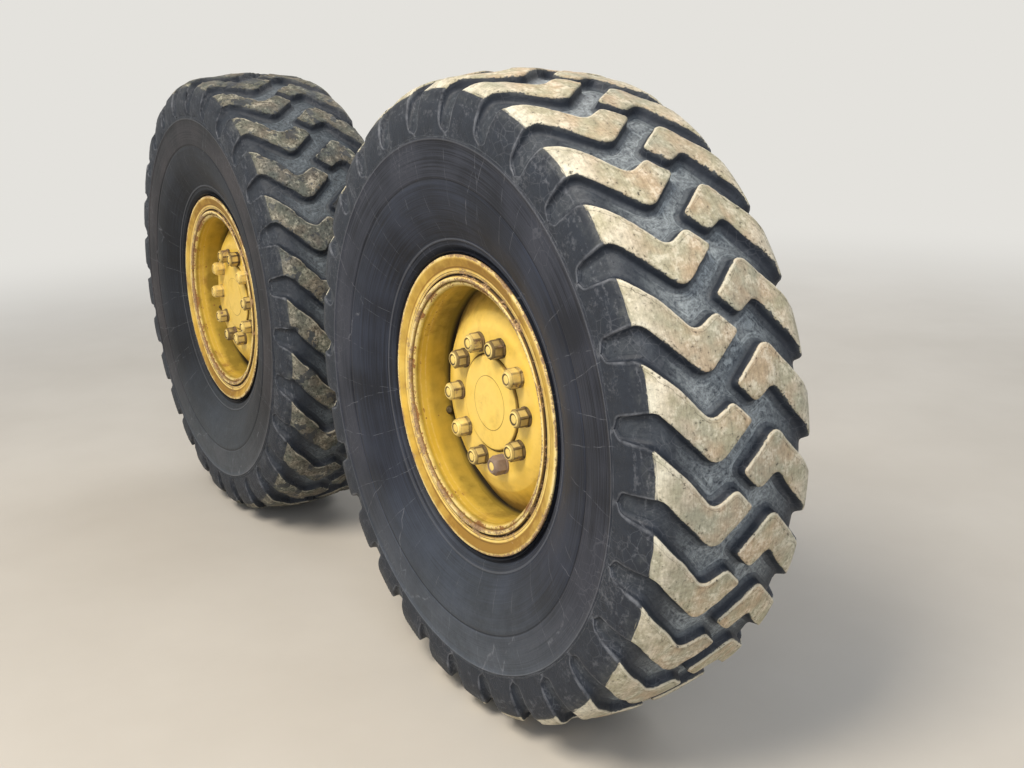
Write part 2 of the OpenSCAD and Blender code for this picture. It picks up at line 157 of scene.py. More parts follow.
def lamp(name, place, aim, size, watts, colour):
    """A square soft box that faces a point."""
    light = bpy.data.lights.new(name, "AREA")
    light.size = size
    light.energy = watts
    light.color = linear(colour)[:3]
    body = bpy.data.objects.new(name, light)
    body.location = place
    body.rotation_euler = (Vector(aim) - Vector(place)).to_track_quat("-Z", "Y").to_euler()
    scene.collection.objects.link(body)


lamp("key", (1.9, -4.3, 4.9), (0.2, -0.5, 0.0), 2.4, 440, "#fff5e6")
lamp("fill", (6.0, -3.0, 2.4), (0.4, -0.6, 0.0), 4.0, 110, "#f2f6ff")
lamp("back", (-3.5, 4.5, 4.0), (0.0, -0.3, 0.0), 4.0, 150, "#ffffff")


# Where things are: the two wheels' axes in the rims' outer planes, and the tyre's radius and
# middle plane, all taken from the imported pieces. Meshes are made in mm about a wheel's axle.
WHEELS = {}
for end in ("front", "rear"):
    low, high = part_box("side_ring_" + end)
    WHEELS[end] = Vector(((low.x + high.x) / 2, low.y, (low.z + high.z) / 2))
low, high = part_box("tyre_front")
TYRE_R = (high.x - low.x) / 2 / MM
TYRE_MIDDLE = (low.y + high.y) / 2 - WHEELS["front"].y


def new_piece(name, mesh):
    piece = bpy.data.objects.new(name, mesh)
    scene.collection.objects.link(piece)
    return piece


def smooth_faces(mesh, sharp_degrees=38):
    mesh.polygons.foreach_set("use_smooth", [True] * len(mesh.polygons))
    mesh.set_sharp_from_angle(angle=math.radians(sharp_degrees))


def closed_mesh(name, verts, faces, sharp_degrees=38, **marks):
    """A mesh with its faces turned outwards, and point attributes such as wear and grime."""
    mesh = bpy.data.meshes.new(name)
    mesh.from_pydata([tuple(v) for v in verts], [], faces)
    for label, values in marks.items():
        mesh.attributes.new(label, "FLOAT", "POINT").data.foreach_set("value", np.asarray(values, float))
    work = bmesh.new()
    work.from_mesh(mesh)
    bmesh.ops.recalc_face_normals(work, faces=work.faces)
    work.to_mesh(mesh)
    work.free()
    if sharp_degrees:
        smooth_faces(mesh, sharp_degrees)
    return mesh


def bands(rows, count, start=0, closed=False):
    """The faces between closed rows of points, which are numbered row after row."""
    return [(start + j * count + i, start + j * count + (i + 1) % count,
             start + (j + 1) % rows * count + (i + 1) % count, start + (j + 1) % rows * count + i)
            for j in range(rows if closed else rows - 1) for i in range(count)]


def rounded(points, arc_step=12):
    """An outline whose points are (x, y, corner radius, ...), with the corners as arcs. Extra
    columns stay with the corner's points."""
    out = []
    count = len(points)
    for i, (x, y, radius, *rest) in enumerate(points):
        here = Vector((x, y))
        back = (Vector(points[i - 1][:2]) - here)
        forth = (Vector(points[(i + 1) % count][:2]) - here)
        if radius <= 0:
            out.append((x, y, *rest))
            continue
        half = back.angle(forth) / 2
        reach = min(radius / math.tan(half), 0.48 * back.length, 0.48 * forth.length)
        radius = reach * math.tan(half)
        centre = here + (back.normalized() + forth.normalized()).normalized() * radius / math.sin(half)
        start = here + back.normalized() * reach - centre
        turn = start.angle_signed(here + forth.normalized() * reach - centre)
        steps = max(1, math.ceil(abs(math.degrees(turn)) / arc_step - 0.001))
        for k in range(steps + 1):
            a = -turn * k / steps
            out.append((centre.x + start.x * math.cos(a) - start.y * math.sin(a),
                        centre.y + start.x * math.sin(a) + start.y * math.cos(a), *rest))
    return out


# Wear and grime fall off over 4.5 mm from the row they are given for
FALL_OFF = 4.5


def lathe(name, section, segments=192, stain=None):
    """A closed ring turned about a wheel's axle. The section's rows are (radius, depth, corner
    radius, wear, grime) in mm. Wear and grime become point attributes. stain(angle, depth)
    multiplies the grime."""
    points = rounded(section)
    rows = []
    for i, point in enumerate(points):
        after = points[(i + 1) % len(points)]
        rows.append(point)
        length = math.dist(point[:2], after[:2])
        if length > 2 * FALL_OFF:
            near = FALL_OFF / length
            middle = max(1, round((length - 2 * FALL_OFF) / 24))
            shares = [near, *((FALL_OFF + (length - 2 * FALL_OFF) * (k + 0.5) / middle) / length
                              for k in range(middle)), 1 - near]
            low_wear = min(point[2], after[2]) * 0.35
            for share in shares:
                x, y, _, grime = (a + (b - a) * share for a, b in zip(point, after))
                rows.append((x, y, low_wear, grime))
    angles = np.linspace(0, 2 * math.pi, segments, endpoint=False)
    solid = [row[0] > 0.001 for row in rows]
    verts, wear, grime = [], [], []
    index = np.zeros((len(rows), segments), int)
    for j, (radius, depth, worn, dirty) in enumerate(rows):
        index[j] = len(verts) + np.arange(segments) * solid[j]
        for angle in angles if solid[j] else angles[:1]:
            reach = radius * MM if solid[j] else 0.0
            verts.append((reach * math.cos(angle), depth * MM, reach * math.sin(angle)))
            wear.append(worn)
            grime.append(dirty * (stain(angle, depth) if stain and solid[j] else 1.0))
    faces = []
    for j in range(len(rows)):
        k = (j + 1) % len(rows)
        if solid[j] or solid[k]:
            for i in range(segments):
                n = (i + 1) % segments
                corners = [int(c) for c in (index[j, i], index[j, n], index[k, n], index[k, i])]
                faces.append(list(dict.fromkeys(corners)))
    return closed_mesh(name, verts, faces, wear=wear, grime=grime)


# Worn machine enamel: air-dried alkyd enamel brushed and sprayed over primer on steel. It has
# a soft gloss, fades unevenly to a paler yellow, chips along edges down to brown rust,
# and holds oily dirt in its corners.
PATCH = 0.22
MOTTLE = 0.045
CHIP = 0.0075
SPOT = 0.026
RUN_GAP = 0.03
RUN_LENGTH = 0.5
RUBBED = "#ecdca6"
CAKED_DIRT_AND_SHADE = "#1e160c"
EDGE_REACH = 3.5


def worn_enamel(name, fresh, faded, rust, dirt, chipping=1.0, dirtiness=1.0, spots=1.0, gloss=0.42,
                odd=None, chip_size=CHIP, bleeding=0.0, streaks=0.0):
    """Pairs of colours are for its darker and its paler parts. odd is the colour of a fastener
    that was changed. bleeding and streaks are shares from 0 to 1."""
    material, add = new_material(name)
    place = add("TexCoord", out=3)
    patch = add("TexNoise", place, 1 / PATCH, 3, 0.55)
    mottle = add("TexNoise", place, 1 / MOTTLE, 4, 0.6)
    chip = add("TexNoise", {"Vector": place, "Scale": 1 / chip_size, "Detail": 5, "Roughness": 0.62,
                            "Distortion": 0.4})
    # How close an edge is: the rounded normal leaves the true one there
    rounded_normal = add("Bevel", {"Radius": EDGE_REACH * MM}, samples=6)
    true_normal = add("NewGeometry", out=1)
    flatness = add("VectorMath DOT_PRODUCT", rounded_normal, true_normal)
    edge = add("MapRange", flatness, 0.995, 0.8, 0.0, 0.5)
    worn = add("Attribute", out=2, attribute_name="wear")
    bare = add("Math MAXIMUM", edge, worn)
    ragged = add("Math ADD", chip, mottle)
    near_bare = add("Math MULTIPLY_ADD", bare, 0.62 * chipping, ragged)
    rusted = add("MapRange", near_bare, 1.3, 1.4, interpolation_type="SMOOTHSTEP")
    # Rust spots: a few of the cells of a Voronoi pattern hold a dot
    cells = add("TexVoronoi", place, 1 / SPOT).node
    chosen = add("SeparateColor", cells.outputs["Color"])
    dot_size = add("MapRange", chosen, 1 - 0.3 * spots, 1.0, 0.0, 0.17)
    dot = add("Math SUBTRACT", dot_size, cells.outputs["Distance"])
    dotted = add("MapRange", dot, 0.0, 0.05, 0.0, 0.85)
    rusted = add("Math MAXIMUM", rusted, dotted)
    # Paint, faded in patches and mottled
    tone = add("MapRange", patch, 0.35, 0.68)
    paint = add("Mix RGBA", tone, fresh, faded)
    shade = add("MapRange", mottle, 0.3, 0.75, 0.9, 1.05)
    paint = add("Mix RGBA", 1.0, paint, add("CombineColor", shade, shade, shade), blend_type="MULTIPLY")
    # Rust that has bled over the paint in soft patches
    if bleeding:
        bled = add("MapRange", add("Math ADD", patch, mottle), 1.06, 1.26, 0.0, bleeding)
        paint = add("Mix RGBA", bled, paint, rust[1])
    # Handled edges go pale before they chip
    rubbed = add("MapRange", add("Math MULTIPLY", bare, chip), 0.08, 0.3, 0.0, 0.75)
    paint = add("Mix RGBA", rubbed, paint, RUBBED)
    # Dirt, thickest where the grime attribute is high, and nearly black in the deepest corners; in the
    # narrowest corners and wedges the dirt and the near black are also painted shade
    dirty = add("Attribute", out=2, attribute_name="grime")
    uneven = add("MapRange", patch, 0.38, 0.62, 0.5 * dirtiness, 1.0 * dirtiness)
    # Rain draws the dirt down in streaks some 30 mm apart
    run = add("VectorMath MULTIPLY", place, (1 / RUN_GAP, 1 / RUN_GAP, 1 / RUN_LENGTH))
    run = add("TexNoise", run, 1.0, 4, 0.6)
    film = add("Mix", streaks, mottle, run)
    dirt_sum = add("Math MULTIPLY_ADD", dirty, uneven, film)
    dirt_and_shade_mask = add("MapRange", dirt_sum, 0.52, 1.15, 0.0, 0.92)
    paint = add("Mix RGBA", dirt_and_shade_mask, paint, dirt)
    caked_dirt_and_shade = add("MapRange", dirty, 1.1, 1.9, 0.0, 0.95)
    paint = add("Mix RGBA", caked_dirt_and_shade, paint, CAKED_DIRT_AND_SHADE)
    rust_tone = add("MapRange", chip, 0.35, 0.75)
    rust_colour = add("Mix RGBA", rust_tone, rust[0], rust[1])
    colour = add("Mix RGBA", rusted, paint, rust_colour)
    if odd:
        # One fastener of the ring was changed and never painted
        unpainted = add("Attribute", out=2, attribute_name="unpainted")
        unpainted = add("Math SUBTRACT", unpainted, add("Attribute", out=2, attribute_name="stud"))
        odd_tone = add("Mix RGBA", chip, odd[0], odd[1])
        colour = add("Mix RGBA", unpainted, colour, odd_tone)
    dull = add("Math MAXIMUM", rusted, dirt_and_shade_mask)
    roughness = add("MapRange", dull, 0.0, 1.0, gloss, 0.86)
    # The coat is about 0.15 mm thick, drawn twice as thick to show, over a slight orange peel
    coat = add("Math MULTIPLY_ADD", rusted, -0.6, mottle)
    peel = add("Math MULTIPLY_ADD", chip, 0.12, coat)
    bump = add("Bump", {"Height": peel, "Strength": 0.6, "Distance": 0.5 * MM})
    surface = add("BsdfPrincipled", {"Base Color": colour, "Roughness": roughness, "Normal": bump,
                                     "IOR": 1.5})
    add("OutputMaterial", surface)
    return material


RUST = ("#5a3c30", "#94705a")
case_paint = worn_enamel("sprayed machine enamel on the chain case", "#d8a52c", "#dfb44c", RUST, "#57492f",
                         streaks=0.5)
cover_paint = worn_enamel("sprayed machine enamel on covers and housings", "#cf9d2c", "#d9ad46", RUST,
                          "#3d3528", dirtiness=1.1)


# Pivot housing: a steel casting bolted to the machine's rear axle by its flange. The case rocks
# on its sleeve. The mounting face and its pilot are turned bright, the rest is sprayed.
AXLE_X = WHEELS["front"].x / MM
AXLE_Z = WHEELS["front"].z / MM
PIVOT_FLANGE_R = (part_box("pivot_housing")[1].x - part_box("pivot_housing")[0].x) / 2 / MM
PIVOT = [(95, 12, 1.5, 0.5, 0.2), (205, 12, 2, 0.5, 0.1), (205, 0, 0, 0.1, 1.2),
         (PIVOT_FLANGE_R, 0, 3, 0.5, 0.2), (PIVOT_FLANGE_R, -38, 4, 0.45, 0.4), (244, -38, 8, 0.1, 1.1),
         (200, -52, 0, 0.2, 1.5), (200, -206, 3, 0.2, 1.3), (95, -206, 1, 0.2, 1.6)]
FLANGE_PCD = 540.0
FLANGE_HOLES = 20
FLANGE_HOLE_R = 13.5
TURNED_STEP = 1.6
DULL_PATCH = 0.06
METAL_GRAIN = 0.006


def dulled_metal(name, bright, dull, stain, roughness=0.42, turned=0.0, metallic=1.0):
    """Bare metal that has gone dull: brighter and duller patches, stains of rust or oil, and
    where it was turned on a lathe, fine rings. The real rings are 0.3 mm apart, drawn 1.6 mm."""
    material, add = new_material(name)
    place = add("TexCoord", out=3)
    patch = add("TexNoise", place, 1 / DULL_PATCH, 5, 0.62)
    grain = add("TexNoise", place, 1 / METAL_GRAIN, 4, 0.7)
    tone = add("MapRange", patch, 0.36, 0.64)
    colour = add("Mix RGBA", tone, bright, dull)
    mixed = add("Math ADD", patch, grain)
    stained = add("MapRange", mixed, 1.02, 1.3, 0.0, 0.7)
    colour = add("Mix RGBA", stained, colour, stain)
    parts = add("SeparateXYZ", place).node
    radius = add("VectorMath LENGTH", add("CombineXYZ", parts.outputs[0], 0, parts.outputs[2]))
    rings = add("Math SINE", add("Math MULTIPLY", radius, 2 * math.pi / (TURNED_STEP * MM)))
    height = add("Math MULTIPLY_ADD", rings, turned, grain)
    bump = add("Bump", {"Height": height, "Strength": 0.5, "Distance": 0.4 * MM})
    rough = add("MapRange", mixed, 0.8, 1.2, roughness, 0.8)
    surface = add("BsdfPrincipled", {"Base Color": colour, "Roughness": rough, "Normal": bump,
                                     "Metallic": metallic})
    add("OutputMaterial", surface)
    return material


def settle(mesh, body, node=None, material=None):
    """Makes a piece of a mesh that is in its place. It rides on a body and may stand for a node."""
    if material:
        mesh.materials.clear()
        mesh.materials.append(material)
    piece = new_piece(mesh.name, mesh)
    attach(piece, body)
    if node:
        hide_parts(node)
    return piece


def baked(name, piece):
    """The mesh of a piece with its modifiers applied. The piece itself goes."""
    graph = bpy.context.evaluated_depsgraph_get()
    mesh = bpy.data.meshes.new_from_object(
        piece.evaluated_get(graph), preserve_all_data_layers=True, depsgraph=graph)
    bpy.data.objects.remove(piece)
    mesh.name = name
    return mesh


turned_steel = dulled_metal("turned steel of the mounting face", "#a3a098", "#8b867b", "#8a6a4e", 0.36, 0.6)
housing = new_piece("pivot_host", lathe("pivot_start", PIVOT))
drills = bpy.data.meshes.new("drills")
work = bmesh.new()
for k in range(FLANGE_HOLES):
    turn = Matrix.Rotation(2 * math.pi * k / FLANGE_HOLES, 4, "Y") @ Matrix.Translation(
        (FLANGE_PCD / 2 * MM, -20 * MM, 0)) @ Matrix.Rotation(math.pi / 2, 4, "X")
    for radius, depth, shift in ((FLANGE_HOLE_R, 60, 0), (FLANGE_HOLE_R + 1.6, 2.4, 19.6)):
        bmesh.ops.create_cone(work, cap_ends=True, segments=32, radius1=radius * MM, radius2=radius * MM,
                              depth=depth * MM, matrix=turn @ Matrix.Translation((0, 0, -shift * MM)))
work.to_mesh(drills)
work.free()
cutter = new_piece("drills", drills)
drilled = housing.modifiers.new("bolt holes", "BOOLEAN")
drilled.operation = "DIFFERENCE"
drilled.solver = "EXACT"
drilled.use_self = True
drilled.object = cutter
housing_mesh = baked("pivot_casting", housing)
bpy.data.objects.remove(cutter)
housing_mesh.materials.clear()
housing_mesh.materials.append(case_paint)
housing_mesh.materials.append(turned_steel)
for face in housing_mesh.polygons:
    face.material_index = int(face.center.y > -0.6 * MM and face.normal.y > 0.2 or face.center.y > 0.5 * MM)
smooth_faces(housing_mesh, 30)
settle(housing_mesh, "pivot", "pivot_housing")


# Collar: a machined steel ring with the bush, bolted on the case by sixteen hexagon bolts
COLLAR_BORE_R = 200.3
COLLAR_FACE = -118
COLLAR_BOLTS = 16
COLLAR_BOLT_R = 269.5
COLLAR = [(COLLAR_BORE_R, -62, 1, 0.4, 1.2), (246.3, -62, 8, 0.35, 0.3),
          (246.3, COLLAR_FACE, 6, 0.1, 1.0), (292.3, COLLAR_FACE, 4, 0.4, 0.6),
          (292.3, -150, 0, 0.1, 1.4), (COLLAR_BORE_R, -150, 0, 0.1, 1.2)]
# The angles of a prism's points: close together at the hexagon's six corners
TURNS = [math.radians(60 * side + part) for side in range(6) for part in (-30, -25.5, -19, 0, 19, 25.5)]


def hexagon_prism(verts, faces, rings):
    """Rings of points about the Y axis between hexagon and circle: (across flats / 2,
    roundness from 0 to 1, depth) in mm."""
    start = len(verts)
    count = len(TURNS)
    for half_af, roundness, depth in rings:
        for angle in TURNS:
            folded = (angle + math.pi / 6) % (math.pi / 3) - math.pi / 6
            hexagon = half_af / math.cos(folded)
            reach = hexagon + (half_af - hexagon) * roundness
            verts.append((reach * math.cos(angle) * MM, depth * MM, reach * math.sin(angle) * MM))
    faces += bands(len(rings), count, start)
    faces.append(tuple(start + k for k in range(count)))
    faces.append(tuple(start + (len(rings) - 1) * count + k for k in range(count)))


def bolt_mesh(across_flats, height, washer_r, washer_t=3.0):
    """A hexagon bolt's head on its washer. It seats at zero and stands out towards -Y."""
    verts, faces = [], []
    half = across_flats / 2
    top = -washer_t - height
    hexagon_prism(verts, faces, [(half - 2.4, 1, top), (half - 1.0, 1, top + 0.3),
                                 (half - 0.3, 0.7, top + 1.2), (half, 0, top + 2.8),
                                 (half, 0, -washer_t - 0.4), (half - 0.8, 0, -washer_t + 0.3)])
    hexagon_prism(verts, faces, [
        (washer_r - 0.6, 1, -washer_t), (washer_r, 1, -washer_t + 0.6), (washer_r, 1, 1.0)])
    depth = np.array(verts)[:, 1] / MM
    wear = np.where(depth < top + 3.2, 0.5, 0.2)
    grime = np.where(depth > -washer_t - 1, 1.3, 0.1)
    return closed_mesh("bolt", verts, faces, 30, wear=wear, grime=grime)


def new_tree(name, inputs):
    """A geometry tree with named inputs, given as (name, kind of socket), and their sockets."""
    tree = bpy.data.node_groups.new(name, "GeometryNodeTree")
    tree.interface.new_socket("Geometry", in_out="INPUT", socket_type="NodeSocketGeometry")
    for label, kind in inputs:
        tree.interface.new_socket(label, in_out="INPUT", socket_type="NodeSocket" + kind)
    tree.interface.new_socket("Geometry", in_out="OUTPUT", socket_type="NodeSocketGeometry")
    return tree, partial(put, tree), tree.nodes.new("NodeGroupInput").outputs


def close_tree(add, geometry, material):
    """Ends a tree: plain geometry with one material."""
    solid = add("RealizeInstances", geometry)
    add("NodeGroupOutput", add("SetMaterial", {"Geometry": solid, "Material": material}))


def grow(name, tree, values, start=None):
    """Runs a tree on a start mesh and returns the result as a plain mesh."""
    host = new_piece(name + "_host", start or bpy.data.meshes.new(name + "_start"))
    modifier = host.modifiers.new("tree", "NODES")
    modifier.node_group = tree
    for item in tree.interface.items_tree:
        if item.in_out == "INPUT" and item.name in values:
            modifier[item.identifier] = values[item.name]
    return baked(name, host)


# Like fasteners in a ring about the Y axis, each turned on its own axis by chance
ring_tree, add, given = new_tree("ring of fasteners", [
    ("Fastener", "Object"), ("Count", "Int"), ("Pitch radius", "Float"), ("First angle", "Float"),
    ("Odd one", "Int"), ("Seed", "Int"), ("Finish", "Material")])
number = add("InputIndex")
step = add("Math DIVIDE", 2 * math.pi, given["Count"])
angle = add("Math MULTIPLY_ADD", number, step, given["First angle"])
east = add("Math COSINE", angle)
north = add("Math SINE", angle)
spot = add("VectorMath SCALE", add("CombineXYZ", east, 0, north), given["Pitch radius"])
points = add("Points", given["Count"], spot)
odd_one = add("Math COMPARE", number, given["Odd one"], 0.5)
points = add("StoreNamedAttribute", {"Geometry": points, "Name": "unpainted", "Value": odd_one})
chance = add("RandomValue", {"Seed": given["Seed"]})
# Some fasteners hold more dirt than others
soiled = add("MapRange", chance, 0.0, 1.0, 0.45, 1.55)
points = add("StoreNamedAttribute", {"Geometry": points, "Name": "soiled", "Value": soiled})
roll = add("Math MULTIPLY", chance, 2 * math.pi)
turned = add("CombineXYZ", 0, roll)
fastener = add("ObjectInfo", given["Fastener"], out="Geometry")
copies = add("InstanceOnPoints", {"Points": points, "Instance": fastener, "Rotation": turned})
solid = add("RealizeInstances", copies)
soiled = add("Math MULTIPLY", add("InputNamedAttribute", "grime"), add("InputNamedAttribute", "soiled"))
solid = add("StoreNamedAttribute", {"Geometry": solid, "Name": "grime", "Value": soiled})
close_tree(add, solid, given["Finish"])


def ring_of(name, fastener, count, radius, seed, finish, first=None, odd_one=-1):
    """Like fasteners on a circle, its radius in mm, the first half a step round."""
    return grow(name, ring_tree, {
        "Fastener": fastener, "Count": count, "Pitch radius": radius * MM, "Seed": seed, "Finish": finish,
        "First angle": math.pi / count if first is None else first, "Odd one": odd_one})


def moved(x, y, z):
    """A move in mm."""
    return Matrix.Translation((x * MM, y * MM, z * MM))


def turned_by(angle, axis):
    return Matrix.Rotation(angle, 4, axis)


settle(lathe("bush_collar", COLLAR), "tandem", "pivot_collar", case_paint)
bolt = new_piece("bolt", bolt_mesh(30.0, 12.5, 20.0))
bolts = ring_of("collar_bolts", bolt, COLLAR_BOLTS, COLLAR_BOLT_R, 2, case_paint)
bolts.transform(moved(0, COLLAR_FACE, 0) @ turned_by(math.pi, "Z"))
settle(bolts, "tandem")
bpy.data.objects.remove(bolt)


# Chain case: two side plates flame-cut from steel plate and a wrapper bent round between them,
# welded all round and sprayed. Dirt lies along the seams and the lower edges are chipped.
CASE_INNER = -150.0
CASE_OUTER = -365.0
INNER_PLATE_T = 22.0
OUTER_PLATE_T = 20.0
CASE_H = 620.0
CASE_END_R = 215.0
CASE_LEVEL = 600.0
LIP = 12.0
WRAPPER_T = 16.0
SPINDLE_PORT_R = 150.0
COVER_PORT_R = 160.0


def case_slope(inset):
    """How much the case's slopes fall, for an outline drawn in by an inset."""
    run = AXLE_X - CASE_LEVEL / 2
    high = CASE_H / 2 - inset
    return math.acos((CASE_END_R - inset) / math.hypot(run, high)) - math.atan2(run, high)


def case_outline(inset, steps=28):
    """The case's side view in mm: level in its middle, tapering to ends round the wheels' axes."""
    high, reach, slope = CASE_H / 2 - inset, CASE_END_R - inset, case_slope(inset)
    start = math.pi / 2 - slope
    end = [(AXLE_X + reach * math.cos(start - 2 * start * k / steps),
            reach * math.sin(start - 2 * start * k / steps), 0) for k in range(steps + 1)]
    corners = [(-CASE_LEVEL / 2, high, 60), (CASE_LEVEL / 2, high, 60)] + end
    corners += [(CASE_LEVEL / 2, -high, 60), (-CASE_LEVEL / 2, -high, 60)]
    corners += [(-x, -z, 0) for x, z, _ in end]
    return [(x, z + AXLE_Z) for x, z in rounded(corners, 4)]


def circle(x, z, radius, count=128):
    return [(x + radius * math.cos(2 * math.pi * k / count), z + radius * math.sin(2 * math.pi * k / count))
            for k in range(count)]


def inside(points, outline):
    """Which points lie in a closed outline."""
    ax, ay = outline[:, 0], outline[:, 1]
    bx, by = np.roll(ax, -1), np.roll(ay, -1)
    px, py = points[:, 0][:, None], points[:, 1][:, None]
    crosses = (ay > py) != (by > py)
    rise = np.where(by == ay, 1e-9, by - ay)
    return (crosses & (px < ax + (py - ay) / rise * (bx - ax))).sum(1) % 2 == 1


def cut_plate(name, outline, holes, near, far, worn=0.3, dirty=0.7, ease=2.0, fade=24.0):
    """A plate in the XZ plane from depth near to far, in mm, with its corners eased. Wear and
    grime fall off from its edges over the distance fade."""
    rings = [(inset, face + sign * down, edge_wear, edge_grime) for face, sign, order in (
        (near, 1, 1), (far, -1, -1)) for inset, down, edge_wear, edge_grime in (
            (fade, 0.0, 0.0, 0.08), (ease, 0.0, worn * 0.5, dirty), (ease * 0.3, ease * 0.3, worn, dirty),
            (0.0, ease, worn * 0.6, dirty))[::order]]
    verts, faces, wear, grime = [], [], [], []
    caps, starts = [], []
    for number, loop in enumerate([outline] + holes):
        loop = np.array(loop, float)
        after, before = np.roll(loop, -1, 0), np.roll(loop, 1, 0)
        area = (loop[:, 0] * after[:, 1] - after[:, 0] * loop[:, 1]).sum()
        along_loop = (after - loop) / np.linalg.norm(after - loop, axis=1)[:, None]
        along_loop = along_loop + (loop - before) / np.linalg.norm(loop - before, axis=1)[:, None]
        away = np.stack([along_loop[:, 1], -along_loop[:, 0]], 1) * np.sign(area)
        away /= np.linalg.norm(away, axis=1)[:, None]
        if number:
            away = -away
        count = len(loop)
        start = len(verts)
        for inset, depth, edge_wear, edge_grime in rings:
            ring = loop - away * inset
            verts += [(x * MM, depth * MM, z * MM) for x, z in ring]
            wear += [edge_wear] * count
            grime += [edge_grime] * count
        faces += bands(len(rings), count, start)
        caps.append(loop - away * fade)
        starts.append((start, start + (len(rings) - 1) * count))
    flat = np.concatenate(caps)
    order = np.concatenate([np.arange(len(cap)) + base for cap, (base, _) in zip(caps, starts)])
    order_far = np.concatenate([np.arange(len(cap)) + base for cap, (_, base) in zip(caps, starts)])
    borders, first = [], 0
    for cap in caps:
        borders += [(first + i, first + (i + 1) % len(cap)) for i in range(len(cap))]
        first += len(cap)
    mosaic = delaunay_2d_cdt([Vector(p) for p in flat], borders, [], 0, 1e-7)
    place_of = [origin[0] for origin in mosaic[3]]
    middles = np.array([np.mean([flat[place_of[v]] for v in face], axis=0) for face in mosaic[2]])
    kept = inside(middles, caps[0])
    for cap in caps[1:]:
        kept &= ~inside(middles, cap)
    for face, keep in zip(mosaic[2], kept):
        if keep:
            faces.append(tuple(int(order[place_of[v]]) for v in face))
            faces.append(tuple(int(order_far[place_of[v]]) for v in reversed(face)))
    return closed_mesh(name, verts, faces, wear=wear, grime=grime)


PLATE_IN = CASE_INNER - INNER_PLATE_T
PLATE_OUT = CASE_OUTER + OUTER_PLATE_T
ports = [circle(0, 0, COVER_PORT_R), *(circle(x, AXLE_Z, SPINDLE_PORT_R) for x in (AXLE_X, -AXLE_X))]
for plate, node in (
        (cut_plate("case_side_inboard", case_outline(0), [circle(0, 0, COLLAR_BORE_R)], PLATE_IN,
                   CASE_INNER), "case_inner_plate"),
        (cut_plate("case_side_outboard", case_outline(0), ports, CASE_OUTER, PLATE_OUT), "case_outer_plate"),
        (cut_plate("case_bent_wrapper", case_outline(LIP), [case_outline(LIP + WRAPPER_T)], PLATE_OUT,
                   PLATE_IN, worn=0.0, dirty=0.9, ease=0.5, fade=5.0), "case_wrapper")):
    settle(plate, "tandem", node, case_paint)

# A round rod along a path: plain for a pipe, rippled for a weld bead. The real ripples are
# 1.5 mm apart, drawn 6 mm.
rod_tree, add, given = new_tree("rod along a path", [
    ("Rod radius", "Float"), ("Step", "Float"), ("Ripple", "Float"), ("Ripple length", "Float"),
    ("Grime", "Float"), ("Finish", "Material")])
path = add("MeshToCurve", {0: given["Geometry"]})
path = add("ResampleCurve", {"Curve": path, "Length": given["Step"]}, mode="LENGTH")
gone = add("SplineParameter", out=1)
wave = add("Math FRACT", add("Math DIVIDE", gone, given["Ripple length"]))
uneven = add("TexNoise", {"Scale": 1 / 0.02, "Detail": 1})
wave = add("Math ADD", wave, uneven)
swell = add("Math MULTIPLY_ADD", wave, given["Ripple"], 1.0)
thick = add("Math MULTIPLY", swell, given["Rod radius"])
path = add("SetCurveRadius", {"Curve": path, "Radius": thick})
ring = add("CurvePrimitiveCircle", {"Resolution": 12, "Radius": 1.0})
rod = add("CurveToMesh", {"Curve": path, "Profile Curve": ring, "Fill Caps": True})
if "Scale" in rod.node.inputs:
    rod_tree.links.new(thick, rod.node.inputs["Scale"])
rod = add("StoreNamedAttribute", {"Geometry": rod, "Name": "grime", "Value": given["Grime"]})
close_tree(add, rod, given["Finish"])


def path_mesh(places, closed=False):
    """A path in mm as a mesh of edges."""
    mesh = bpy.data.meshes.new("path")
    count = len(places)
    mesh.from_pydata([tuple(c * MM for c in p) for p in places],
                     [(i, (i + 1) % count) for i in range(count if closed else count - 1)], [])
    return mesh


for seam, depth in (("outboard", PLATE_OUT + 1), ("inboard", PLATE_IN - 1)):
    bead = grow("weld_bead_" + seam, rod_tree, {
        "Rod radius": 6.4 * MM, "Step": 2.6 * MM, "Ripple": 0.16, "Ripple length": 7.8 * MM, "Grime": 0.75,
        "Finish": case_paint}, path_mesh([(x, depth, z) for x, z in case_outline(LIP - 1)], closed=True))
    smooth_faces(bead, 60)
    settle(bead, "tandem")


# Covers: a pressed round one over the drive sprocket and two flat ones over the chains, each
# on a gasket under a row of bolts. Oil has crept from their edges and run down.
COVER_FACE = -379
COVER_BOLTS = 12
COVER_BOLT_R = 171.5
CENTRE_COVER = [
    (0, -355, 0, 0.0, 0.0), (159, -355, 0, 0.0, 0.5), (159, CASE_OUTER, 0, 0.0, 1.6),
    (190, CASE_OUTER, 0, 0.2, 1.7), (190, COVER_FACE, 3, 0.45, 0.4), (146, COVER_FACE, 6, 0.05, 0.9),
    (134, -387, 4, 0.3, 0.2), (0, -387, 0, 0.0, 0.1)]
TOP_COVER_L = 300.0
TOP_COVER_W = CASE_INNER - CASE_OUTER - INNER_PLATE_T - OUTER_PLATE_T - 30
TOP_COVER_T = 12.0
TOP_BOLTS_L = TOP_COVER_L - 30
TOP_BOLTS_W = TOP_COVER_W - 28
settle(lathe("sprocket_cover", CENTRE_COVER), "tandem", "centre_cover", cover_paint)
bolt = new_piece("bolt", bolt_mesh(19.0, 8.0, 12.5, 2.5))
bolts = ring_of("sprocket_cover_bolts", bolt, COVER_BOLTS, COVER_BOLT_R, 5, cover_paint)
bolts.transform(moved(0, COVER_FACE, 0))
settle(bolts, "tandem")

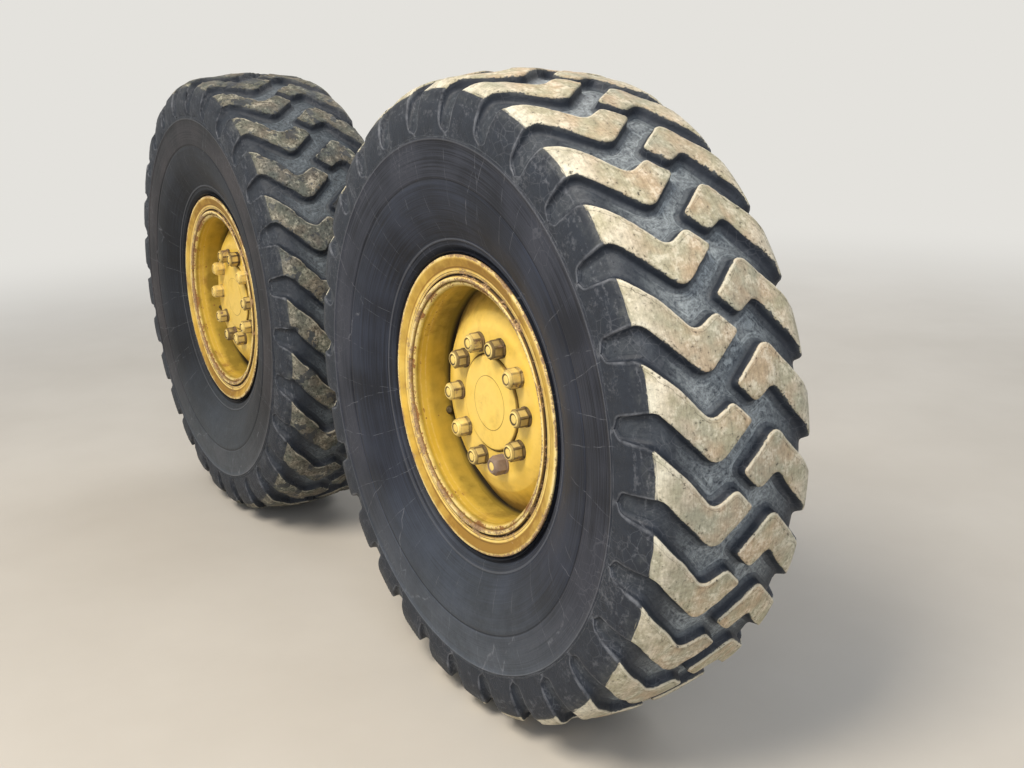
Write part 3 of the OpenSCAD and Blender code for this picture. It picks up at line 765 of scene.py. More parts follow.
# Bolts round a flat cover: four along each side and one in the middle of each end
edge_tree, add, given = new_tree("bolts round a flat cover", [
    ("Fastener", "Object"), ("Length", "Float"), ("Width", "Float"), ("Along", "Int"), ("Seed", "Int"),
    ("Finish", "Material")])
field = add("MeshGrid", {"Size X": given["Length"], "Size Y": given["Width"], "Vertices X": given["Along"],
                         "Vertices Y": 3})
parts = add("SeparateXYZ", add("InputPosition")).node
at_middle = add("Math COMPARE", parts.outputs[1], 0.0, 0.001)
short_of = add("Math LESS_THAN", add("Math ABSOLUTE", parts.outputs[0]),
               add("Math MULTIPLY", given["Length"], 0.45))
unwanted = add("Math MULTIPLY", at_middle, short_of)
spots = add("DeleteGeometry", {0: field, "Selection": unwanted}, domain="POINT")
chance = add("RandomValue", {"Seed": given["Seed"]})
roll = add("Math MULTIPLY", chance, 2 * math.pi)
upright = add("CombineXYZ", -math.pi / 2, 0, roll)
fastener = add("ObjectInfo", given["Fastener"], out="Geometry")
copies = add("InstanceOnPoints", {"Points": spots, "Instance": fastener, "Rotation": upright})
close_tree(add, copies, given["Finish"])


def stacked(name, rings):
    """Rounded rectangles one over the other, as one closed block. Each ring is (half length, half
    width, corner radius, height, wear, grime) in mm."""
    verts, wear, grime = [], [], []
    for half_l, half_w, corner, height, ring_wear, ring_grime in rings:
        loop = rounded([(half_l, half_w, corner), (-half_l, half_w, corner), (-half_l, -half_w, corner),
                        (half_l, -half_w, corner)], 15)
        verts += [(x * MM, y * MM, height * MM) for x, y in loop]
        wear += [ring_wear] * len(loop)
        grime += [ring_grime] * len(loop)
    count = len(loop)
    last = (len(rings) - 1) * count
    faces = bands(len(rings), count) + [tuple(range(count)), tuple(range(last, last + count))]
    return closed_mesh(name, verts, faces, wear=wear, grime=grime)


for end, side, seed in (("front", 1, 3), ("rear", -1, 8)):
    half_l, half_w = TOP_COVER_L / 2, TOP_COVER_W / 2
    slope_at = moved(side * CASE_LEVEL / 2, PLATE_OUT + 15 + half_w, AXLE_Z + CASE_H / 2 - LIP)
    slope_at = slope_at @ turned_by(side * case_slope(LIP), "Y")
    slope_at = slope_at @ moved(side * (AXLE_X - CASE_LEVEL / 2) / 2, 0, 0)
    cover = stacked("chain_cover_" + end, [
        (half_l, half_w, 14, 0, 0.2, 1.6), (half_l, half_w, 14, TOP_COVER_T - 1.6, 0.4, 0.7),
        *((half_l - in_l, half_w - in_w, corner, TOP_COVER_T + rise, wear, grime)
          for in_l, in_w, corner, rise, wear, grime in (
              (1.6, 1.6, 13, 0, 0.4, 0.3), (31, 26, 16, 0, 0.0, 0.9), (35, 30, 14, 2, 0.0, 0.8),
              (40, 35, 12, 7, 0.35, 0.2), (43, 38, 10, 8, 0.3, 0.1), (60, 50, 6, 8, 0.0, 0.3)))])
    cover.transform(slope_at)
    settle(cover, "tandem", "top_cover_" + end, cover_paint)
    bolts = grow("chain_cover_bolts_" + end, edge_tree, {
        "Fastener": bolt, "Length": TOP_BOLTS_L * MM, "Width": TOP_BOLTS_W * MM, "Along": 4,
        "Seed": seed, "Finish": cover_paint})
    bolts.transform(slope_at @ moved(0, 0, TOP_COVER_T))
    settle(bolts, "tandem")
bpy.data.objects.remove(bolt)


# Oil filler and drain plugs: turned and milled steel, screwed in and left bare
FILLER_X = 170.0
plug_steel = dulled_metal("oily bare steel of the plugs", "#8b857a", "#5e564b", "#4a3324", 0.4)
upward = turned_by(math.pi / 2, "X")


def joined(name, parts):
    """One mesh of several meshes, given as (mesh, matrix), with their wear and grime."""
    verts, faces, wear, grime = [], [], [], []
    for mesh, matrix in parts:
        start = len(verts)
        verts += [matrix @ v.co for v in mesh.vertices]
        faces += [[start + v for v in face.vertices] for face in mesh.polygons]
        for label, values in (("wear", wear), ("grime", grime)):
            found = mesh.attributes.get(label)
            values += [d.value for d in found.data] if found else [0.0] * len(mesh.vertices)
    return closed_mesh(name, verts, faces, wear=wear, grime=grime)


def hexagon_mesh(rings):
    verts, faces = [], []
    hexagon_prism(verts, faces, rings)
    return closed_mesh("hexagon", verts, faces, 30)


neck = lathe("neck", [(0, 1, 0, 0, 1.0), (26, 1, 0, 0, 1.6), (26, 24, 1, 0, 0.6), (23.5, 25, 1, 0, 1.4),
                      (23.5, 29, 1, 0, 1.4), (31, 30, 1.5, 0.4, 0.2), (31, 38, 1.5, 0.4, 0.2),
                      (22, 38.5, 2, 0.2, 0.6), (0, 38.5, 0, 0, 0.2)], 64)
cap = hexagon_mesh([(17.3, 0.3, 38), (17.3, 0, 40), (17.3, 0, 53), (16.9, 0.5, 55), (15.6, 1, 56)])
filler = joined("oil_filler", [(neck, upward), (cap, upward)])
filler.transform(moved(FILLER_X, (CASE_OUTER + CASE_INNER) / 2, AXLE_Z + CASE_H / 2 - LIP))
settle(filler, "tandem", "filler_neck", plug_steel)
for end, side in (("front", 1), ("rear", -1)):
    boss = lathe("boss", [(0, -1, 0, 0, 0.5), (22, -1, 0, 0, 1.6), (22, 5, 1, 0.3, 0.5),
                          (20, 6, 1, 0.3, 0.4), (0, 6, 0, 0, 0.4)], 48)
    head = hexagon_mesh([(14.7, 0.3, 5.5), (14.7, 0, 7), (14.7, 0, 15.4), (14.4, 0.5, 17), (13.4, 1, 18)])
    plug = joined("drain_screw_" + end, [(boss, Matrix()), (head, Matrix())])
    plug.transform(moved(side * AXLE_X, (CASE_OUTER + CASE_INNER) / 2, AXLE_Z)
                   @ turned_by(-side * case_slope(LIP), "Y")
                   @ moved(-side * 60, 0, LIP - CASE_END_R) @ turned_by(-math.pi / 2, "X"))
    settle(plug, "tandem", "drain_plug_" + end, plug_steel)


# Spindle housings: castings bolted on the case's outer plate by sixteen bolts. Each carries the
# brake's round housing, which stands in the rim, and the spindle that the hub turns on.
SPINDLE_FACE = 393.3
SPINDLE_FLANGE_R = 228
SPINDLE_BOLTS = 16
SPINDLE_BOLT_R = 207
SPINDLE_HOUSING = [(0, 433.3, 0, 0.0, 0.5), (149, 433.3, 0, 0.0, 0.5), (149, 421.3, 0, 0.0, 1.4),
                   (SPINDLE_FLANGE_R, 421.3, 0, 0.2, 1.7),
                   (SPINDLE_FLANGE_R, SPINDLE_FACE, 4, 0.45, 0.3), (176, SPINDLE_FACE, 10, 0.1, 1.0),
                   (176, 354, 6, 0.1, 0.9), (190, 351, 3, 0.2, 0.5), (238, 340, 8, 0.4, 0.4),
                   (238, 300, 2, 0.1, 0.7), (234, 298, 1, 0.1, 1.3), (234, 294, 1, 0.1, 1.3),
                   (238, 292, 2, 0.2, 0.7), (238, 222, 12, 0.3, 0.7), (136, 222, 2, 0.1, 1.1),
                   (136, 202, 3, 0.2, 1.0), (90, 202, 2, 0.1, 1.4), (90, 130, 2, 0.2, 1.2),
                   (0, 130, 0, 0.0, 0.8)]


def on_wheel(mesh, end, node, body=None, material=None):
    """Puts a mesh made about a wheel's axle in its place, and makes a piece of it."""
    mesh.transform(Matrix.Translation(WHEELS[end]))
    return settle(mesh, body or "wheel_" + end, node, material)


bolt = new_piece("bolt", bolt_mesh(24.0, 10.0, 15.0))
for end, seed in (("front", 6), ("rear", 11)):
    on_wheel(lathe("spindle_casting_" + end, SPINDLE_HOUSING), end, "spindle_housing_" + end, body="tandem",
             material=cover_paint)
    bolts = ring_of("spindle_bolts_" + end, bolt, SPINDLE_BOLTS, SPINDLE_BOLT_R, seed, cover_paint)
    bolts.transform(moved(0, SPINDLE_FACE, 0))
    on_wheel(bolts, end, None, body="tandem")
bpy.data.objects.remove(bolt)


# Brake pipes: steel tube bent by hand, from a junction block by the round cover to a union on
# each spindle flange, in four clips. Sprayed over with the case long ago, now dull and oily.
PIPE_R = 6.0
PIPE_DEPTH = CASE_OUTER - 16
PIPE_FROM_X = 150
PIPE_BELOW = 70
PIPE_FALL = 14
UNION_ANGLE = math.radians(40)
BEND_R = 45.0
CLIP_BOLT_X = 18
CLIP_TOP = -12.8
pipe_steel = dulled_metal("dull zinc-plated steel of the brake pipes", "#8a8577", "#605b50", "#6a4a30", 0.5,
                          metallic=0.8)


def bent(places, radius, steps=7):
    """A path through places with its corners bent to a radius."""
    places = [Vector(p) for p in places]
    out = [places[0]]
    for before, here, after in zip(places, places[1:], places[2:]):
        back, forth = (before - here).normalized(), (after - here).normalized()
        half = back.angle(forth) / 2
        reach = min(radius / math.tan(half), 0.45 * (before - here).length, 0.45 * (after - here).length)
        for k in range(steps + 1):
            t = k / steps
            out.append(here + back * reach * (1 - t) ** 2 + forth * reach * t ** 2)
    return out + [places[-1]]


clip_outline = [(27, -16, 0), (-8.4, -16, 0), (-8.4, 4, 4), (-5, 8.6, 5), (5, 8.6, 5), (8.4, 4, 4),
                (8.4, CLIP_TOP, 3), (27, CLIP_TOP, 1.4)]
strap = cut_plate("strap", rounded(clip_outline, 20), [], -7, 7, worn=0.5, dirty=1.0, ease=0.5, fade=0.9)
clip_bolt = bolt_mesh(13.0, 5.3, 8.0, 1.6)
block_bolt = bolt_mesh(17.0, 7.0, 10.5, 2.0)
upright_bolt = turned_by(-math.pi / 2, "X")
for end, side in (("front", 1), ("rear", -1)):
    centre = Vector((side * AXLE_X, PIPE_DEPTH, AXLE_Z))
    out = Vector((-side * math.cos(UNION_ANGLE), 0, math.sin(UNION_ANGLE)))
    start_z = AXLE_Z + CASE_H / 2 - PIPE_BELOW
    start = Vector((side * PIPE_FROM_X, PIPE_DEPTH, start_z))
    bend = Vector((side * (CASE_LEVEL / 2 + 40), PIPE_DEPTH, start_z - PIPE_FALL))
    union_top = centre + out * (SPINDLE_FLANGE_R + 24)
    tube = grow("tube_" + end, rod_tree, {
        "Rod radius": PIPE_R * MM, "Step": 7 * MM, "Ripple": 0.0, "Ripple length": 1.0, "Grime": 0.8,
        "Finish": pipe_steel},
        path_mesh(bent([start, bend, union_top, centre + out * (SPINDLE_FLANGE_R + 4)], BEND_R)))
    screwed = hexagon_mesh([(6.4, 1, 18), (8.2, 1, 17), (8.6, 0, 15), (8.6, 0, 2), (8.2, 0.5, 0.5),
                            (7.6, 1, 0.3)])
    towards = out.to_track_quat("Y", "Z").to_matrix().to_4x4()
    along_first = (bend - start).normalized().to_track_quat("Y", "Z").to_matrix().to_4x4()
    pipe = joined("brake_line_" + end, [
        (tube, Matrix()), (screwed, Matrix.Translation((centre + out * SPINDLE_FLANGE_R) * MM) @ towards),
        (screwed, Matrix.Translation((start + (bend - start).normalized() * 20) * MM) @ along_first)])
    settle(pipe, "tandem", "brake_pipe_" + end, pipe_steel)
    straps = []
    for a, b, shares in ((start, bend, (0.4, 0.85)), (bend, union_top, (0.3, 0.7))):
        ahead_by = (b - a).normalized()
        # The strap's own axes: its Y lies along the pipe and its Z points away from the plate
        away = Vector((0, -1, 0))
        frame_of = Matrix((ahead_by.cross(away), ahead_by, away)).transposed().to_4x4()
        for share in shares:
            at = Matrix.Translation((a + (b - a) * share) * MM) @ frame_of
            straps += [(strap, at), (clip_bolt, at @ moved(CLIP_BOLT_X, 0, CLIP_TOP) @ upright_bolt)]
    settle(joined("pipe_clips_" + end, straps), "tandem", material=cover_paint)
    block = stacked("pipe_block_" + end, [
        (20, 20, 3, 0, 0.3, 1.5), (20, 20, 3, 26, 0.5, 0.5), (18.6, 18.6, 2.4, 28, 0.6, 0.2),
        (12, 12, 2, 28, 0.1, 0.6)])
    block_at = Matrix.Translation((start + Vector((0, 16, 0))) * MM)
    settle(joined("junction_block_" + end, [
        (block, block_at @ upward), (screwed, block_at @ (moved(0, -14, 20) @ upward)),
        (block_bolt, block_at @ moved(0, -28, 0))]), "tandem", material=cover_paint)


# Wheel disc and hub: a pressed, dished steel plate welded in the barrel, and the cast hub's
# pilot that shows in its middle. Both are sprayed with the rim and fade in the open.
# The disc's grime rises towards the barrel. At 258 mm it is painted shade cast by the barrel. At the foot in
# the barrel it is dirt and painted shade in the corner.
WHEEL_DISC = [(114.5, 62, 2, 0.2, 1.3), (116.5, 61.9, 0, 0.05, 0.3), (124, 62, 0, 0.0, 0.0),
              (181, 62, 30, 0.0, 0.0), (211, 74, 8, 0.0, 0.15), (258, 108, 0, 0.0, 0.75),
              (274.75, 120, 0, 0.05, 1.5), (274.75, 138, 0, 0.05, 1.5), (207, 90, 10, 0.1, 0.5),
              (183, 78, 8, 0.1, 0.5), (114.5, 78, 2, 0.1, 0.6)]
HUB = [(0, 54, 0, 0.0, 0.0), (62.5, 54, 1, 0.0, 0.0), (64, 54.2, 0.5, 0.0, 0.85),
       (65.5, 54.6, 0.5, 0.0, 0.0), (108, 56, 2, 0.0, 0.0), (112.6, 59, 2, 0.15, 0.9),
       (113, 64, 1, 0.2, 1.9), (113, 78, 0, 0.3, 1.9), (175.9, 78, 0, 0.2, 0.7), (175.9, 108, 4, 0.4, 0.6),
       (124.3, 108, 8, 0.2, 0.9), (124.3, 196, 3, 0.3, 0.9), (90.3, 196, 0, 0.3, 1.0),
       (90.3, 124, 0, 0.3, 1.0), (0, 124, 0, 0.0, 1.0)]
disc_paint = worn_enamel("faded enamel on the wheel disc", "#eec750", "#f3d06a", RUST, "#7f6428",
                         chipping=0.4, spots=0.15, gloss=0.38)
for end in ("front", "rear"):
    for name, section, node in (("pressed_disc_", WHEEL_DISC, "wheel_disc_"), ("wheel_hub_", HUB, "hub_")):
        on_wheel(lathe(name + end, section), end, node + end, material=disc_paint)


# Rims: a rolled barrel with its inboard flange, a loose side ring that is the outboard flange,
# and a split lock ring that wedges it. Sections in mm as (radius, depth behind the rim's
# outer plane, corner radius, wear, grime).
# The barrel's grime rises between 92 and 142 mm deep, behind the disc: dirt there, and painted shade in the
# narrow wedge that the disc hides.
RIM_BASE = [(275, 26, 0, 0.26, 0.0), (274, 15, 3, 0.2, 0.5), (280, 9.5, 3, 0.42, 0.0),
            (286.5, 9, 1, 0.5, 1.5), (286.5, 13.5, 1, 0.6, 1.8), (283, 15, 1, 0.5, 1.5),
            (283, 25.2, 1, 0.4, 1.5), (291.5, 25.2, 1, 0.4, 1.5), (291.5, 76, 3, 0.1, 0.6),
            (287, 84, 6, 0.1, 0.5), (287, 240.6, 8, 0.1, 0.5), (301.8, 254.6, 4, 0.1, 0.5),
            (304.8, 300.3, 8, 0.1, 0.6), (326.8, 300.3, 12, 0.2, 0.7), (346.5, 307.6, 4, 0.6, 0.4),
            (346.5, 314.6, 2, 0.6, 0.3), (336.5, 314.6, 5, 0.4, 0.2), (314.8, 307.6, 10, 0.1, 0.25),
            (289, 312.6, 4, 0.4, 0.3), (277, 310.6, 3, 0.45, 0.3), (275, 300.6, 0, 0.2, 0.3),
            (275, 190, 0, 0.05, 0.5), (275, 142, 0, 0.05, 1.3), (275, 116, 0, 0.05, 1.9),
            (275, 92, 0, 0.05, 0.55), (275, 60, 0, 0.05, 0.5), (275, 40, 0, 0.26, 0.0)]
# The faces in the slots where the side ring, the lock ring and the barrel meet carry grime of 1.5 to 1.9,
# which darkens them: dirt, and painted shade in the slots.
SIDE_RING = [(291.75, 25.2, 1, 0.5, 1.5), (291.75, 70, 2, 0.2, 0.8), (300.8, 70, 2, 0.2, 0.6),
             (304.8, 14.3, 8, 0.2, 0.6), (326.8, 14.3, 12, 0.3, 0.6), (346.5, 7, 4, 0.6, 0.6),
             (346.5, 0, 2, 0.62, 0.2), (341, 0, 0, 0.38, 0.2), (336.5, 0, 5, 0.2, 0.7),
             (321.5, 5, 8, 0.1, 0.8), (317.5, 5.5, 0, 0.1, 1.3), (313.5, 6, 2, 0.3, 0.0),
             (309.8, 7.0, 0, 0.3, 0.1), (308.8, 7.3, 0, 0.3, 1.8), (307.8, 7.5, 0, 0.4, 0.1),
             (303.8, 8.5, 0, 0.4, 0.7), (302, 9, 1, 0.4, 1.9), (300, 13, 1, 0.4, 1.9)]
LOCK_RING = [(287.1, 5, 2, 0.6, 0.7), (291.5, 2.5, 3, 0.6, 0.2), (295.6, 3.4, 1, 0.4, 0.0),
             (297.2, 5.2, 0, 0.4, 1.5), (298.6, 9, 0, 0.4, 1.9), (299.7, 12.7, 1, 0.4, 1.9),
             (291.5, 24.8, 0, 0.5, 1.6), (283.25, 24.8, 1, 0.5, 1.6), (283.25, 15.4, 1, 0.5, 1.6),
             (287.1, 14, 1, 0.6, 1.6)]
BARREL_STAIN = {"front": math.radians(205), "rear": math.radians(215)}
LOCK_SPLIT = {"front": math.radians(169), "rear": math.radians(168)}
SPLIT_W = 9.0

rim_paint = worn_enamel("stained enamel in the rim barrel", "#c8a332", "#d3b34e", ("#6f4a24", "#996a32"),
                        "#85701e", chipping=1.2, dirtiness=1.0, spots=1.1, bleeding=0.6)
ring_paint = worn_enamel("chipped enamel on the rim's rings", "#e2b640", "#edcf6c", ("#745643", "#b99c70"),
                         "#87611f", chipping=0.98, spots=0.7, chip_size=0.007)

for end in ("front", "rear"):
    def stained(angle, depth, low=BARREL_STAIN[end]):
        """Rain and oil lie in the lowest part of the barrel."""
        return 0.8 + 0.55 * max(0.0, math.cos(angle - low)) ** 1.5
    on_wheel(lathe("rim_barrel_" + end, RIM_BASE, stain=stained), end, "rim_base_" + end,
             material=rim_paint)

    def weathered(angle, depth):
        """Dirt lies on the ring's upper and lower parts."""
        return 0.45 + 0.75 * math.sin(angle) ** 2
    on_wheel(lathe("rim_side_ring_" + end, SIDE_RING, stain=weathered), end, "side_ring_" + end,
             material=ring_paint)
    ring = lathe("rim_lock_ring_" + end, LOCK_RING)
    work = bmesh.new()
    work.from_mesh(ring)
    middle = Vector((math.cos(LOCK_SPLIT[end]), 0, math.sin(LOCK_SPLIT[end])))
    across = Vector((-middle.z, 0, middle.x))
    for side in (1, -1):
        geometry = work.verts[:] + work.edges[:] + work.faces[:]
        edge_at = across * SPLIT_W / 2 * MM * side
        bmesh.ops.bisect_plane(work, geom=geometry, plane_co=edge_at, plane_no=across)
    gone = [f for f in work.faces if abs(f.calc_center_median().dot(across)) < SPLIT_W / 2 * MM
            and f.calc_center_median().dot(middle) > 0]
    bmesh.ops.delete(work, geom=gone, context="FACES")
    bmesh.ops.holes_fill(work, edges=[e for e in work.edges if e.is_boundary], sides=0)
    bmesh.ops.recalc_face_normals(work, faces=work.faces)
    work.to_mesh(ring)
    work.free()
    smooth_faces(ring)
    on_wheel(ring, end, "lock_ring_" + end, material=ring_paint)


# Wheel nuts: forged hexagon nuts, each on its stud, with a washer face and a chamfered
# end that the stud's end is a little short of. Ten on each wheel, painted over, turned as
# they were tightened.
STUD_PCD = 285.75
STUD_N = 10
STUD_R = 11.0
NUT_AF = 41.0
NUT_END = 27.0
NUT_SEAT = 62.0
WASHER_H = 5.0

nut_paint = worn_enamel("enamel over grimy wheel nuts", "#edc75c", "#f4d984", ("#5d4836", "#8a715c"),
                        "#4b3a25", chipping=0.9, dirtiness=1.15, spots=0.4, odd=("#6e5a50", "#93806f"))


def nut_mesh():
    verts, faces = [], []
    half = NUT_AF / 2
    hexagon_prism(verts, faces, [(STUD_R + 1, 1, NUT_END + 1.6), (STUD_R + 1.4, 1, NUT_END + 0.4),
                                 (14.9, 1, NUT_END), (15.6, 1, NUT_END + 0.4), (18.2, 1, NUT_END + 3.0),
                                 (half, 1, NUT_END + 5.3), (half, 0.5, NUT_END + 6.9),
                                 (half, 0, NUT_END + 8.5), (half, 0, NUT_END + 14),
                                 (half, 0, NUT_SEAT - WASHER_H - 5), (half, 0, NUT_SEAT - WASHER_H - 1.0),
                                 (half, 0.5, NUT_SEAT - WASHER_H),
                                 (half + 2.6, 1, NUT_SEAT - WASHER_H + 0.6),
                                 (half + 3.2, 1, NUT_SEAT - WASHER_H + 1.2), (half + 3.2, 1, NUT_SEAT)])
    hexagon_prism(verts, faces, [
        (STUD_R - 2.2, 1, NUT_END + 1.2), (STUD_R - 1.2, 1, NUT_END + 1.6), (STUD_R, 1, NUT_END + 3.0),
        (STUD_R, 1, NUT_END + 85)])
    mesh = closed_mesh("nut", verts, faces, 30)
    depth = np.array([v.co.y for v in mesh.vertices]) / MM - NUT_END
    reach = np.array([math.hypot(v.co.x, v.co.z) for v in mesh.vertices]) / MM
    turn = np.array([math.atan2(v.co.z, v.co.x) for v in mesh.vertices])
    corner = np.abs((turn + math.pi / 6) % (math.pi / 3) - math.pi / 6) / (math.pi / 6)
    flank = (depth > 6) & (reach > STUD_R + 3)
    shoulder = (depth > 0.2) & (depth < 1) & (reach > STUD_R + 3)
    wear = 0.1 + 0.3 * shoulder + 0.2 * flank
    grime = np.where(flank, 0.35 + 0.5 * (corner > 0.8) + 0.6 * (depth > 27) + 0.3 * (depth < 8), 0.0)
    grime = np.maximum(grime, 0.5 * ((depth > 2) & (depth < 6) & (reach > 17)))
    grime = np.maximum(grime, 1.2 * ((reach > STUD_R) & (reach < STUD_R + 2.5) & (depth < 3)))
    stud = (reach < STUD_R + 0.5) & (depth > 0)
    for label, values in (("wear", wear), ("grime", grime), ("stud", stud)):
        mesh.attributes.new(label, "FLOAT", "POINT").data.foreach_set("value", values.astype(float))
    return mesh


nut = new_piece("nut", nut_mesh())
for end, odd_one, seed in (("front", 8, 4), ("rear", -1, 9)):
    nuts = ring_of("nuts_" + end, nut, STUD_N, STUD_PCD / 2, seed, nut_paint, 0.0, odd_one)
    on_wheel(nuts, end, "wheel_nuts_" + end)
bpy.data.objects.remove(nut)


# Tyre valves: a brass stem in a rubber-covered foot in the barrel, which leans out in front of
# the disc and has a screwed cap. Dark with oil and dust.
VALVE_ANGLE = math.radians(198)
VALVE_LEAN = math.radians(45)
VALVE_R = 274.5
VALVE_DEPTH = 98
valve_brass = dulled_metal("oil-stained brass of the valves", "#5d4f31", "#38301f", "#1d1913", 0.5,
                           metallic=0.6)
foot = lathe("foot", [(0, -1, 0, 0, 1), (11, -1, 0, 0, 1), (11, 3.4, 1.5, 0, 1), (7.4, 5.4, 2, 0, 1),
                      (5.4, 16, 2, 0, 1), (5.8, 18, 2, 0, 1), (0, 21, 0, 0, 1)], 32)
stem = lathe("stem", [(0, -3, 0, 0, 1), (5.4, -3, 2, 0, 1), (5, 3, 1, 0, 1), (5, 12, 0, 0, 1),
                      (6.4, 12, 0.5, 0, 1), (7, 13, 0.5, 0, 1), (7, 22, 0.5, 0, 1), (6.2, 23, 0.5, 0, 1),
                      (6.2, 24, 0.5, 0, 1), (6.8, 25, 0.5, 0, 1), (6.4, 30, 1.5, 0, 1), (0, 30, 0, 0, 1)],
             32)
for end in ("front", "rear"):
    root = turned_by(-VALVE_ANGLE, "Y") @ moved(VALVE_R, VALVE_DEPTH, 0) @ turned_by(math.pi / 2, "Z")
    tip = root @ moved(0, 16, 0) @ turned_by(VALVE_LEAN, "Z")
    valve = joined("valve_stem_" + end, [(foot, root), (stem, tip)])
    on_wheel(valve, end, "valve_" + end, material=valve_brass)


# Tyres: bias tyres with a traction tread of 28 knee-shaped lugs a side, moulded in one with
# the carcass. The black compound has weathered to blue-grey, and dust and gravel have
# scoured the lugs' tops to a pale tan. The section runs from the crown to the bead.
LUG_N = 28
FIRST_LUG = {"front": math.radians(24.6), "rear": math.radians(26.4)}
CHEWED = {"front": 4.0, "rear": 19.0}
CROWN_R = 742
CROWN = [(CROWN_R, 0), (739.6, 50), (732, 105), (717, 178), (697, 198)]
SIDE = [(697, 198), (657, 209), (601.6, 210), (560.5, 210), (514.6, 206), (458.4, 198), (406.6, 176),
        (377.3, 161.5), (354, 158.8)]
BEAD = [(354, 158.8), (349, 146.5), (346.8, 146), (326.8, 142.75), (313, 142.75), (305, 134.75),
        (305, 114.75)]
LINING = [(324.8, 116.75), (393, 124), (458.6, 166), (560.5, 180), (616, 162), (656, 132), (672, 63),
          (672, 0)]
# Groove depth in mm at places across the tread
LUG_END = 304
GROOVE = [(0, 26), (105, 25.3), (180, 23.6), (208, 20.6), (250, 12.5), (288, 5.5), (LUG_END, 0)]
# Raised and sunk rings on the sidewall: radius, half width, height, how pale the rubbed ring is. A negative
# share paints the ring dark instead, as painted shade: in the sunk ring at 515 mm and in the gap beside the
# rim's flange.
RIBS = [(608, 1.8, 2.0, 0.30), (600.5, 1.8, 2.0, 0.22), (515, 2.0, -2.2, -0.7), (381, 2.6, 2.4, 0.2),
        (356, 7.0, -9.5, -0.9)]


def flowing(points):
    """A smooth curve through points, read by its length: returns its knots, points and slopes."""
    points = np.array(points, float)
    knots = np.concatenate([[0], np.cumsum(np.hypot(*np.diff(points, axis=0).T))])
    return knots, points, np.gradient(points, knots, axis=0)


def along(curve, s):
    """The points of a flowing curve at the lengths s."""
    knots, points, slopes = curve
    s = np.clip(s, 0, knots[-1])
    i = np.clip(np.searchsorted(knots, s, side="right") - 1, 0, len(knots) - 2)
    step = knots[i + 1] - knots[i]
    x = ((s - knots[i]) / step)[:, None]
    step = step[:, None]
    return ((2 * x**3 - 3 * x**2 + 1) * points[i] + (x**3 - 2 * x**2 + x) * step * slopes[i]
            + (3 * x**2 - 2 * x**3) * points[i + 1] + (x**3 - x**2) * step * slopes[i + 1])


crown_curve = flowing(CROWN)
side_curve = flowing(SIDE)
crown_curve[2][0] = (0, 1)
EDGE_S = crown_curve[0][-1]
WALL_S = EDGE_S + side_curve[0][-1]
wall_steps = np.arange(EDGE_S, WALL_S, 0.5)
wall_radii = along(side_curve, wall_steps - EDGE_S)[:, 0]


def section_at(s):
    """(radius, distance from the middle) of the unworn outer surface, s mm from the crown."""
    s = np.asarray(s, float)
    reach = np.abs(s)
    out = np.where((reach < EDGE_S)[:, None], along(crown_curve, reach), along(side_curve, reach - EDGE_S))
    return np.stack([out[:, 0], out[:, 1] * np.where(s < 0, -1, 1)], 1)


def outward_at(s):
    """The direction out of that surface, taken over 28 mm so that it turns smoothly."""
    tangent = section_at(s + 14) - section_at(s - 14)
    tangent /= np.linalg.norm(tangent, axis=1)[:, None]
    return np.stack([tangent[:, 1], -tangent[:, 0]], 1)


def groove_depth(s):
    return np.interp(np.abs(s), *np.array(GROOVE, float).T)


def on_tyre(u, s, depth):
    """Wheel-frame places from mm forward along the tread, mm across it and mm below its top."""
    u, s, depth = np.broadcast_arrays(*(np.asarray(v, float) for v in (u, s, depth)))
    here = section_at(s) - outward_at(s) * depth[:, None]
    angle = -u / TYRE_R
    return np.stack([here[:, 0] * np.cos(angle) * MM, TYRE_MIDDLE - here[:, 1] * MM,
                     here[:, 0] * np.sin(angle) * MM], 1)


# The lug's top outline, (mm forward, mm across from the crown, corner radius): the tip past the
# crown, the outer knee, the shoulder, the scooped groove end, and back by the inner knee
PITCH = 2 * math.pi * CROWN_R / LUG_N
SCOOP_U = 21.0
LUG_TOP = [
    (36, -13, 8), (110, 74, 26), (-12, 188, 40), (-6, 279, 14), (SCOOP_U, 291, 4), (SCOOP_U, LUG_END, 0),
    (SCOOP_U - PITCH, LUG_END, 0), (SCOOP_U - PITCH, 291, 4), (-124, 281, 14), (-110, 204, 34),
    (-42, 133, 90), (25, 80, 24), (-5, 28, 14)]
# Rings down a lug's side: mm outwards with the draft left out, mm down from the top, and
# the share of the groove's depth
LUG_DRAFT = math.tan(math.radians(12))
LUG_RINGS = [(-3.0, 0.0, 0.0), (-0.9, 0.8, 0.0), (0.0, 3.0, 0.0), (0.0, 0.0, 0.5), (0.0, -5.0, 1.0),
             (2.4, -1.5, 1.0), (9.0, 0.4, 1.0), (9.0, 5.0, 1.0)]
# The mesh's cells on the lugs' tops: finer on the tread than past its edge
CELL = 10.8
COARSE_CELL = 14.0
COARSE_FROM = 215
ROW_STEP = CELL * 0.87
# The carcass's rows, closer at the shoulder: (from, to, step). Rows less than 1.2 apart are one.
ROWS = ((0, 200, 12), (200, 300, 9), (LUG_END - 3, LUG_END + 1, 3))
WALL_STEP = 16
LEAST_STEP = 1.2
# Lines in the grooves are drawn up to this far from a lug
FAR_OFF = 60.0


def resampled(points, step_of):
    """A closed outline with points added so that no stretch is longer than step_of(place)."""
    out = []
    for i, here in enumerate(points):
        after = points[(i + 1) % len(points)]
        count = max(1, math.ceil(math.dist(here, after) / step_of(here)))
        out += [(here[0] + (after[0] - here[0]) * k / count, here[1] + (after[1] - here[1]) * k / count)
                for k in range(count)]
    return np.array(out)


